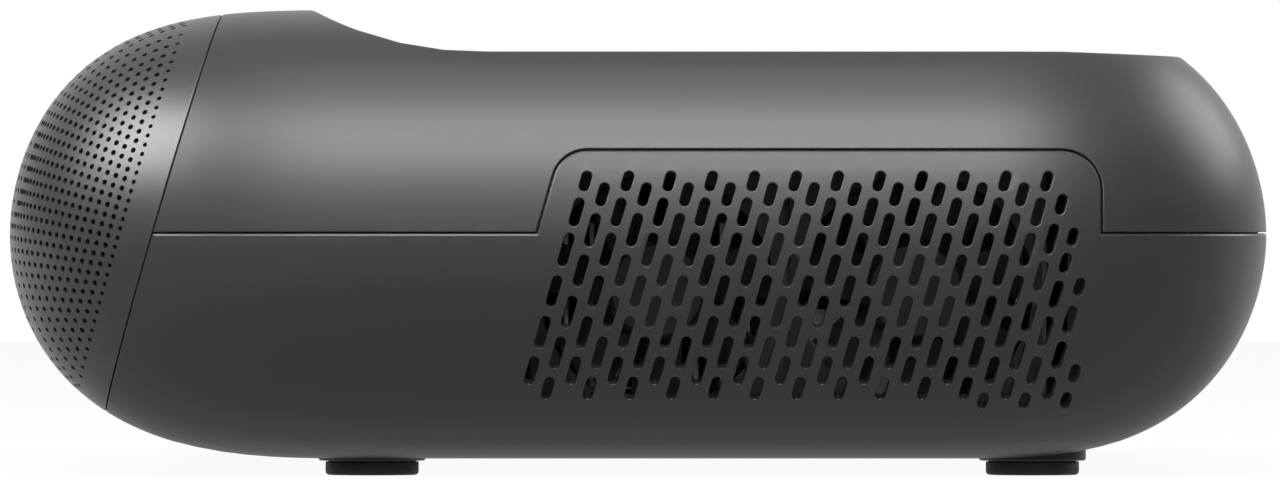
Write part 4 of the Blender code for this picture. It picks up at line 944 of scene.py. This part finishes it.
def grille_front():
    """Straight part of the grille: one cell for each hole, a hexagon cut from a rectangle."""
    columns = int(round(2 * CORNER_X / FRONT_PITCH))
    edges = np.linspace(-CORNER_X, CORNER_X, columns + 1)
    centre_x = (edges[1:] + edges[:-1]) / 2
    ups, bounds = row_bounds()
    _, across = slopes(bare_skin, np.zeros_like(ups), ups)
    scale = np.linalg.norm(across, axis=1)
    turn = np.arange(CELL_SIDES) * math.tau / CELL_SIDES
    shape = (len(ups), columns, CELL_SIDES)
    x = np.broadcast_to(centre_x[None, :, None] + HOLE_RADIUS * np.cos(turn), shape)
    up = np.broadcast_to(ups[:, None, None] + HOLE_RADIUS * np.sin(turn) / scale[:, None, None], shape)
    rim = np.stack([x, up], axis=-1)
    grid = np.stack(np.meshgrid(edges, bounds), axis=-1)
    corner = np.arange(grid.shape[0] * grid.shape[1]).reshape(grid.shape[:2])
    first = corner.size + np.arange(rim.size // 2).reshape(shape)
    deep = first + rim.size // 2
    c = [corner[:-1, :-1], corner[:-1, 1:], corner[1:, 1:], corner[1:, :-1]]
    h = [first[..., i] for i in range(CELL_SIDES)]
    threes = [(c[1], c[2], h[0]), (c[2], h[1], h[0]), (c[3], h[3], h[2]), (c[3], c[0], h[3]),
              (c[0], h[4], h[3]), (c[1], h[0], h[5])]
    fours = [(c[2], c[3], h[2], h[1]), (c[0], c[1], h[5], h[4])]
    triangles = np.concatenate([np.stack(face, axis=-1).reshape(-1, 3) for face in threes])
    quads = np.concatenate([np.stack(face, axis=-1).reshape(-1, 4) for face in fours])
    walls = np.stack([first, np.roll(first, -1, axis=2), np.roll(deep, -1, axis=2), deep], axis=-1)
    points = np.concatenate([
        straight_skin(grid.reshape(-1, 2), 0.0), straight_skin(rim.reshape(-1, 2), 0.0),
        straight_skin(rim.reshape(-1, 2), SHEET)])
    margins = [grille_margin(edges, bounds, high) for high in (False, True)]
    return [(points, [triangles, quads, walls.reshape(-1, 4)])] + margins


def straight_skin(points, sink):
    """Front's straight part for any X: the surface at the centre, moved along X."""
    flat = np.stack([np.full(len(points), STRAIGHT_X), points[:, 1]], axis=-1)
    shift = (points[:, :1] - STRAIGHT_X) * np.array([1, 0, 0])
    return placed(bare_skin, flat, sink) + shift


def grille_margin(edges, bounds, high):
    """Plain strip between the last row of holes and the seam, with its rounded edge and wall."""
    end = float(up_at(seam_end(-SEAM_GAP / 2, high)))
    side = 1 if high else -1
    near = bounds[-1] if high else bounds[0]
    bend = SLOT_EDGE * BEND_SHARE
    plain = list(margin_ups(near, end)[:-1])
    ups = plain + [end - side * SLOT_EDGE, end - side * bend, end, end]
    sinks = [0.0] * len(plain) + [0.0, bend, SLOT_EDGE, WALL]
    rows = [straight_skin(np.stack([edges, np.full(len(edges), up)], axis=-1), sink)
            for up, sink in zip(ups, sinks)]
    number = np.arange(len(rows) * len(edges)).reshape(len(rows), len(edges))
    quads = np.stack([number[:-1, :-1], number[:-1, 1:], number[1:, 1:], number[1:, :-1]], axis=-1)
    quads = quads.reshape(-1, 4)
    return np.concatenate(rows), [quads if high else quads[:, ::-1]]


def grille_cloth():
    """Dark cloth stretched just behind the perforated sheet."""
    setback = -SEAM_GAP / 2 - CLOTH_SETBACK
    low, high = seam_end(setback, False), seam_end(setback, True)
    up_low, up_high = float(up_at(low)), float(up_at(high))
    seam = seam_run(setback, low, high)
    outline = outline_of(
        marked(np.array([[0, up_high], [0, up_low]]), 1),
        marked(level(0, ROUND_FRONT, up_low)[1:-1], 0), marked(seam, 0),
        marked(level(ROUND_FRONT, 0, up_high)[:-1], 0))
    inner = body_points(up_low, up_high)
    inner = inner[inner[:, 0] < ROUND_SIDE]
    return trimmed(bare_skin, [outline], inner, CLOTH_EDGE, base=SHEET + CLOTH_EDGE, wall=CLOTH)


# small pieces


def control_strip():
    """Thin dark cover in the recess of the raised front, with a round hole for each button."""
    low, high = strip_ups(0)
    outline = outline_of(
        marked(np.array([[0, low]]), 1), marked(level(0, STRIP_HALF_LENGTH, low)[1:], 0),
        marked(level(STRIP_HALF_LENGTH, 0, high)[:-1], 0), marked(np.array([[0, high]]), 1))
    centre_up = front_up(STRIP_MIDDLE_Y)
    centres = np.array([[x, centre_up] for x in BUTTON_PLACES.values() if x > 0])
    radius = np.full(len(centres), BUTTON_RADIUS + STRIP_MARGIN)
    loops = [outline] + [marked(loop, 0) for loop in hole_loops(centres, radius, BUTTON_HOLE_COUNT)]
    across = np.arange(LINE_STEP / 2, STRIP_HALF_LENGTH - LINE_STEP / 4, LINE_STEP)
    inner = np.stack(np.meshgrid(across, profile_ups(low, high, LINE_STEP / 2)), axis=-1).reshape(-1, 2)
    along = np.array([1, 0])
    inner = inner[clear_of(inner * along, centres * along, BUTTON_RADIUS + LINE_STEP / 2)]
    points, groups = trimmed(bare_skin, loops, inner, SLOT_EDGE, base=-STRIP_PROUD, wall=STRIP_THICKNESS)
    points[:, 2] = np.minimum(points[:, 2], BODY_TOP)
    return points, groups


def button(x):
    """Round cap with a bevelled rim and a shallow dish in its top."""
    radius, top, edge, bend = BUTTON_RADIUS, BUTTON_TOP, SLOT_EDGE, SLOT_EDGE * BEND_SHARE
    low = top - BUTTON_LENGTH
    rim = [(0, low), (radius, low), (radius, top - edge), (radius - bend, top - bend), (radius - edge, top)]
    dished = [(radius * out, top - BUTTON_DISH * down) for out, down in BUTTON_DISH_SHARES]
    return turned(rim + dished + [(0, top - BUTTON_DISH)], (x, STRIP_MIDDLE_Y))


def foot_pad(x, y):
    """Round pad with rounded rims, a shallow ring groove below, and its stem."""
    radius, edge, top = FOOT_RADIUS, FOOT_EDGE, FOOT_HEIGHT
    turn = np.linspace(0, QUARTER, FOOT_STEPS)
    low = [(radius - edge + edge * math.sin(a), edge - edge * math.cos(a)) for a in turn]
    rim = FOOT_TOP_EDGE
    high = [(radius - rim + rim * math.cos(a), top - rim + rim * math.sin(a)) for a in turn]
    neck = [(FOOT_NECK_RADIUS, top), (FOOT_NECK_RADIUS, FOOT_NECK_TOP)]
    groove = [(radius * out, edge * up) for out, up in FOOT_GROOVE_SHARES]
    stem = [(FOOT_STEM_RADIUS, FOOT_NECK_TOP), (FOOT_STEM_RADIUS, FOOT_STEM_TOP - edge),
            (FOOT_STEM_RADIUS - edge, FOOT_STEM_TOP), (0, FOOT_STEM_TOP)]
    return turned(groove + low + high + neck + stem, (x, y))


def foot_collar(x, y):
    """Flanged ring that meets the underside: each height of its top follows the dish above it."""
    count = ROUND_COUNT
    turn = np.arange(count) * math.tau / count
    bore = FOOT_STEM_RADIUS + STRIP_MARGIN
    radii = [bore, COLLAR_RADIUS - EDGE, COLLAR_RADIUS, COLLAR_RADIUS, bore]
    rows = []
    for index, radius in enumerate(radii):
        px, py = x + radius * np.cos(turn), y + radius * np.sin(turn)
        rise = {0: 0.0, 1: 0.0, 2: EDGE}.get(index)
        if rise is None:
            skin = dish_skin(px, py)[:, 2] + (COLLAR_SUNK if index == 3 else 0.0)
            height = np.maximum(skin, COLLAR_LOW + EDGE)
        else:
            height = np.full(count, COLLAR_LOW + rise)
        rows.append(np.stack([px, py, height], axis=-1))
    rows.append(rows[0])
    number = np.arange(len(rows) * count).reshape(len(rows), count)
    return np.concatenate(rows), [ring_quads(number)]


# materials


def new_material(name, colour, roughness, metallic=0.0, specular=0.5):
    material = bpy.data.materials.new(name)
    material.use_nodes = True
    shader = material.node_tree.nodes["Principled BSDF"]
    shader.inputs["Base Color"].default_value = (*colour, 1)
    shader.inputs["Roughness"].default_value = roughness
    shader.inputs["Metallic"].default_value = metallic
    shader.inputs["Specular IOR Level"].default_value = specular
    return material, material.node_tree, shader


def noise(tree, scale, detail=3.0, mapping=None):
    place = tree.nodes.new("ShaderNodeTexCoord")
    texture = tree.nodes.new("ShaderNodeTexNoise")
    texture.inputs["Scale"].default_value = scale
    texture.inputs["Detail"].default_value = detail
    source = place.outputs["Object"]
    if mapping:
        stretch = tree.nodes.new("ShaderNodeMapping")
        stretch.inputs["Scale"].default_value = mapping
        tree.links.new(source, stretch.inputs["Vector"])
        source = stretch.outputs["Vector"]
    tree.links.new(source, texture.inputs["Vector"])
    return texture.outputs["Fac"]


def vary(tree, source, socket, low, high):
    """Map a pattern's middle range to a range of values on a shader socket."""
    scale = tree.nodes.new("ShaderNodeMapRange")
    scale.inputs["From Min"].default_value = PATTERN_RANGE[0]
    scale.inputs["From Max"].default_value = PATTERN_RANGE[1]
    scale.inputs["To Min"].default_value = low
    scale.inputs["To Max"].default_value = high
    tree.links.new(source, scale.inputs["Value"])
    tree.links.new(scale.outputs["Result"], socket)


def tint(tree, source, shader, first, second):
    mix = tree.nodes.new("ShaderNodeMix")
    mix.data_type = "RGBA"
    mix.inputs[6].default_value = (*first, 1)
    mix.inputs[7].default_value = (*second, 1)
    tree.links.new(source, mix.inputs[0])
    tree.links.new(mix.outputs[2], shader.inputs["Base Color"])


def grain(tree, shader, source, strength, depth):
    bump = tree.nodes.new("ShaderNodeBump")
    bump.inputs["Strength"].default_value = strength
    bump.inputs["Distance"].default_value = depth
    tree.links.new(source, bump.inputs["Height"])
    tree.links.new(bump.outputs["Normal"], shader.inputs["Normal"])


def moulded(name, colour, roughness, scale=2600, depth=0.02 * MM, strength=0.3, metallic=0.0, specular=0.5,
            stretch=None, spread=0.12):
    """Fine grain in the bump, with slow changes of colour and roughness over the surface."""
    material, tree, shader = new_material(name, colour, roughness, metallic, specular)
    fine = noise(tree, scale, 2.0, stretch)
    slow = noise(tree, *SLOW_PATTERN)
    vary(tree, fine, shader.inputs["Roughness"], roughness * (1 - spread), roughness * (1 + spread))
    dark = tuple(value * (1 - SHADE_CHANGE) for value in colour)
    light = tuple(min(1, value * (1 + SHADE_CHANGE)) for value in colour)
    tint(tree, slow, shader, dark, light)
    grain(tree, shader, fine, strength, depth)
    return material


SHELL = moulded("satin_grey_shell", (0.022, 0.022, 0.023), 0.40)
GRILLE = moulded("satin_grey_grille", (0.020, 0.020, 0.021), 0.38, scale=1800, specular=0.8)
STRIP = moulded("dark_gloss_strip", (0.006, 0.006, 0.006), 0.16, scale=900, strength=0.05)
BUTTON = moulded("button_grey_satin", (0.022, 0.022, 0.023), 0.32)
BLACK = moulded("black_moulding", (0.010, 0.010, 0.010), 0.50)
RUBBER = moulded("foot_rubber", (0.012, 0.012, 0.012), 0.62, scale=1400, strength=0.5)
CLOTH_BLACK = moulded("acoustic_cloth", (0.004, 0.004, 0.004), 0.95, scale=1500, strength=0.8, specular=0.1)
FAN = moulded("fan_black", (0.040, 0.040, 0.042), 0.45)
CONE = moulded("woofer_paper", (0.015, 0.015, 0.015), 0.8, scale=700, strength=0.6, depth=0.1 * MM)
LENS_BLACK = moulded("lens_black", (0.012, 0.012, 0.013), 0.35)
SOCKET_BLACK = moulded("socket_black", (0.014, 0.014, 0.014), 0.48)
BOARD = moulded("board_green", (0.012, 0.060, 0.030), 0.45, scale=300)
STEEL = moulded("brushed_steel", (0.50, 0.50, 0.51), 0.34, scale=900, stretch=(1, 0.04, 1), metallic=1.0)
SOCKET_STEEL = moulded("socket_steel", (0.56, 0.56, 0.57), 0.26, scale=900, stretch=(0.05, 1, 1),
                       metallic=1.0)
ALLOY = moulded("cast_alloy", (0.42, 0.42, 0.43), 0.5, scale=700, depth=0.08 * MM, strength=0.6, metallic=1.0)
FINS = moulded("fin_alloy", (0.60, 0.60, 0.61), 0.32, scale=1200, stretch=(0.05, 1, 1), metallic=1.0)
COAT = moulded("mirror_coat", (0.85, 0.86, 0.88), 0.05, scale=500, strength=0.02, metallic=1.0)


def window_glass():
    return moulded("dark_window_glass", (0.002, 0.002, 0.003), 0.05, scale=400, strength=0.01, specular=0.35,
                   spread=0.3)


NODE_FINISHES = {
    "window_bezel": BLACK, "rear_socket_tray": BLACK, "power_inlet": SOCKET_BLACK, "audio_jack": SOCKET_BLACK,
    "hdmi_port_1": SOCKET_STEEL, "hdmi_port_2": SOCKET_STEEL, "hdmi_port_3": SOCKET_STEEL,
    "usb_port_1": SOCKET_STEEL, "usb_port_2": SOCKET_STEEL, "lan_port": SOCKET_STEEL,
    "main_board": BOARD, "key_board": BOARD, "chassis": STEEL, "power_supply": STEEL, "mirror_bracket": STEEL,
    "focus_motor": STEEL, "focus_pinion": SOCKET_STEEL, "light_engine": ALLOY, "laser_module": ALLOY,
    "heat_sink_left": FINS, "heat_sink_right": FINS,
    "fan_frame_1": FAN, "fan_frame_2": FAN, "fan_frame_3": FAN,
    "fan_rotor_1": FAN, "fan_rotor_2": FAN, "fan_rotor_3": FAN, "wheel_motor": LENS_BLACK,
    "lens_barrel": LENS_BLACK, "focus_ring": BUTTON, "phosphor_wheel": COAT, "mirror": COAT,
    "speaker_baffle": BLACK, "woofer_left": BLACK, "woofer_right": BLACK, "tweeter_left": BLACK,
    "tweeter_right": BLACK, "woofer_cone_left": CONE, "woofer_cone_right": CONE,
    "projection_window": window_glass(),
}


def finish_nodes():
    for name, material in NODE_FINISHES.items():
        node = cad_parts[name]
        for slot in node.material_slots:
            slot.material = material


# the scene


def make_pieces():
    add_piece("lower_housing_shell", lower_shell(), SHELL, "projector", ["lower_housing"])
    add_piece("upper_housing_shell", upper_shell(), SHELL, "projector", ["upper_housing"])
    add_piece("speaker_grille_front", grille_front(), GRILLE, "projector",
              ["speaker_grille"], mirrored=False)
    add_piece("speaker_grille_cheeks", [grille_cheek()], GRILLE, "projector")
    add_piece("speaker_grille_cloth", [grille_cloth()], CLOTH_BLACK, "projector")
    add_piece("housing_joint_lip", [joint_lip()], BLACK, "projector")
    add_piece("control_strip_cover", [control_strip()], STRIP, "projector", ["control_strip"])
    for name, x in BUTTON_PLACES.items():
        add_piece(name + "_cap", [button(x)], BUTTON, name, [name], False,
                  TURNED_SHARP)
    for side, sign in (("left", -1), ("right", 1)):
        for end, y in (("front", FOOT_FRONT_Y), ("rear", FOOT_REAR_Y)):
            place = end + "_" + side
            pad, collar = "foot_pad_" + place, "foot_collar_" + place
            add_piece(pad + "_rubber", [foot_pad(sign * FOOT_X, y)], RUBBER, pad,
                      [pad], False, TURNED_SHARP)
            add_piece(collar + "_ring", [foot_collar(sign * FOOT_X, y)], BLACK, "projector",
                      [collar], False, TURNED_SHARP)


def ray_mix(tree, ray, plain, special):
    """The special shader for one kind of ray, and the plain one for the rest."""
    path = tree.nodes.new("ShaderNodeLightPath")
    mix = tree.nodes.new("ShaderNodeMixShader")
    tree.links.new(path.outputs[ray], mix.inputs["Fac"])
    tree.links.new(plain, mix.inputs[1])
    tree.links.new(special, mix.inputs[2])
    return mix.outputs["Shader"]


def sweep(tree, source, socket, span, values):
    """Smooth change from one value to the other as the source crosses a span."""
    scale = tree.nodes.new("ShaderNodeMapRange")
    scale.interpolation_type = "SMOOTHSTEP"
    scale.inputs["From Min"].default_value = span[0]
    scale.inputs["From Max"].default_value = span[1]
    scale.inputs["To Min"].default_value = values[0]
    scale.inputs["To Max"].default_value = values[1]
    tree.links.new(source, scale.inputs["Value"])
    tree.links.new(scale.outputs["Result"], socket)


def make_floor():
    """White table top that keeps part of its shadow for the camera and shines white in gloss."""
    mesh = bpy.data.meshes.new("floor")
    mesh.from_pydata([
        (-FLOOR_REACH, -FLOOR_REACH, 0), (FLOOR_FRONT, -FLOOR_REACH, 0),
        (FLOOR_FRONT, FLOOR_REACH, 0), (-FLOOR_REACH, FLOOR_REACH, 0)], [], [(0, 1, 2, 3)])
    material, tree, shader = new_material("white_floor", FLOOR_GREY, FLOOR_ROUGHNESS)
    glow = tree.nodes.new("ShaderNodeEmission")
    glow.inputs["Strength"].default_value = 1.0
    blend = tree.nodes.new("ShaderNodeMixShader")
    blend.inputs["Fac"].default_value = FLOOR_GLOW
    tree.links.new(shader.outputs["BSDF"], blend.inputs[1])
    tree.links.new(glow.outputs["Emission"], blend.inputs[2])
    sheen = tree.nodes.new("ShaderNodeEmission")
    place = tree.nodes.new("ShaderNodeTexCoord")
    split = tree.nodes.new("ShaderNodeSeparateXYZ")
    tree.links.new(place.outputs["Object"], split.inputs["Vector"])
    sweep(tree, split.outputs["X"], sheen.inputs["Strength"], FLOOR_SWEEP, FLOOR_GLOSS)
    glossy = ray_mix(tree, "Is Glossy Ray", shader.outputs["BSDF"], sheen.outputs["Emission"])
    mixed = ray_mix(tree, "Is Camera Ray", glossy, blend.outputs["Shader"])
    tree.links.new(mixed, tree.nodes["Material Output"].inputs["Surface"])
    mesh.materials.append(material)
    floor = bpy.data.objects.new("floor", mesh)
    bpy.context.scene.collection.objects.link(floor)


def make_world():
    """White for the camera; for the rest a soft sweep from a white back wall to a dim front."""
    world = bpy.data.worlds.new("studio")
    bpy.context.scene.world = world
    world.use_nodes = True
    tree = world.node_tree
    dim = tree.nodes["Background"]
    place = tree.nodes.new("ShaderNodeTexCoord")
    split = tree.nodes.new("ShaderNodeSeparateXYZ")
    tree.links.new(place.outputs["Generated"], split.inputs["Vector"])
    sweep(tree, split.outputs["X"], dim.inputs["Strength"], WORLD_SWEEP, WORLD_LIGHT)
    dim.inputs["Color"].default_value = (1, 1, 1, 1)
    white = tree.nodes.new("ShaderNodeBackground")
    white.inputs["Color"].default_value = (1, 1, 1, 1)
    white.inputs["Strength"].default_value = 1.0
    mixed = ray_mix(tree, "Is Camera Ray", dim.outputs["Background"], white.outputs["Background"])
    tree.links.new(mixed, tree.nodes["World Output"].inputs["Surface"])


def make_lamp(name, place, target, size, power):
    data = bpy.data.lights.new(name, "AREA")
    data.shape = "RECTANGLE"
    data.size, data.size_y = size
    data.energy = power
    lamp = bpy.data.objects.new(name, data)
    bpy.context.scene.collection.objects.link(lamp)
    place, target = Vector(place), Vector(target)
    lamp.location = place
    lamp.rotation_euler = (target - place).to_track_quat("-Z", "Y").to_euler()
    return lamp


def make_camera():
    data = bpy.data.cameras.new("camera")
    data.lens = LENS
    data.sensor_width = SENSOR
    data.clip_end = CAMERA_REACH
    camera = bpy.data.objects.new("camera", data)
    bpy.context.scene.collection.objects.link(camera)
    camera.location = (CAMERA_DISTANCE, CAMERA_Y, CAMERA_HEIGHT)
    camera.rotation_euler = (QUARTER, 0, QUARTER)
    bpy.context.scene.camera = camera


make_camera()
finish_nodes()
make_pieces()
make_floor()
make_world()
for lamp_name, lamp_place, lamp_aim, lamp_size, lamp_power in LAMPS:
    make_lamp(lamp_name, lamp_place, lamp_aim, lamp_size, lamp_power)
bpy.context.scene.view_settings.view_transform = "Standard"
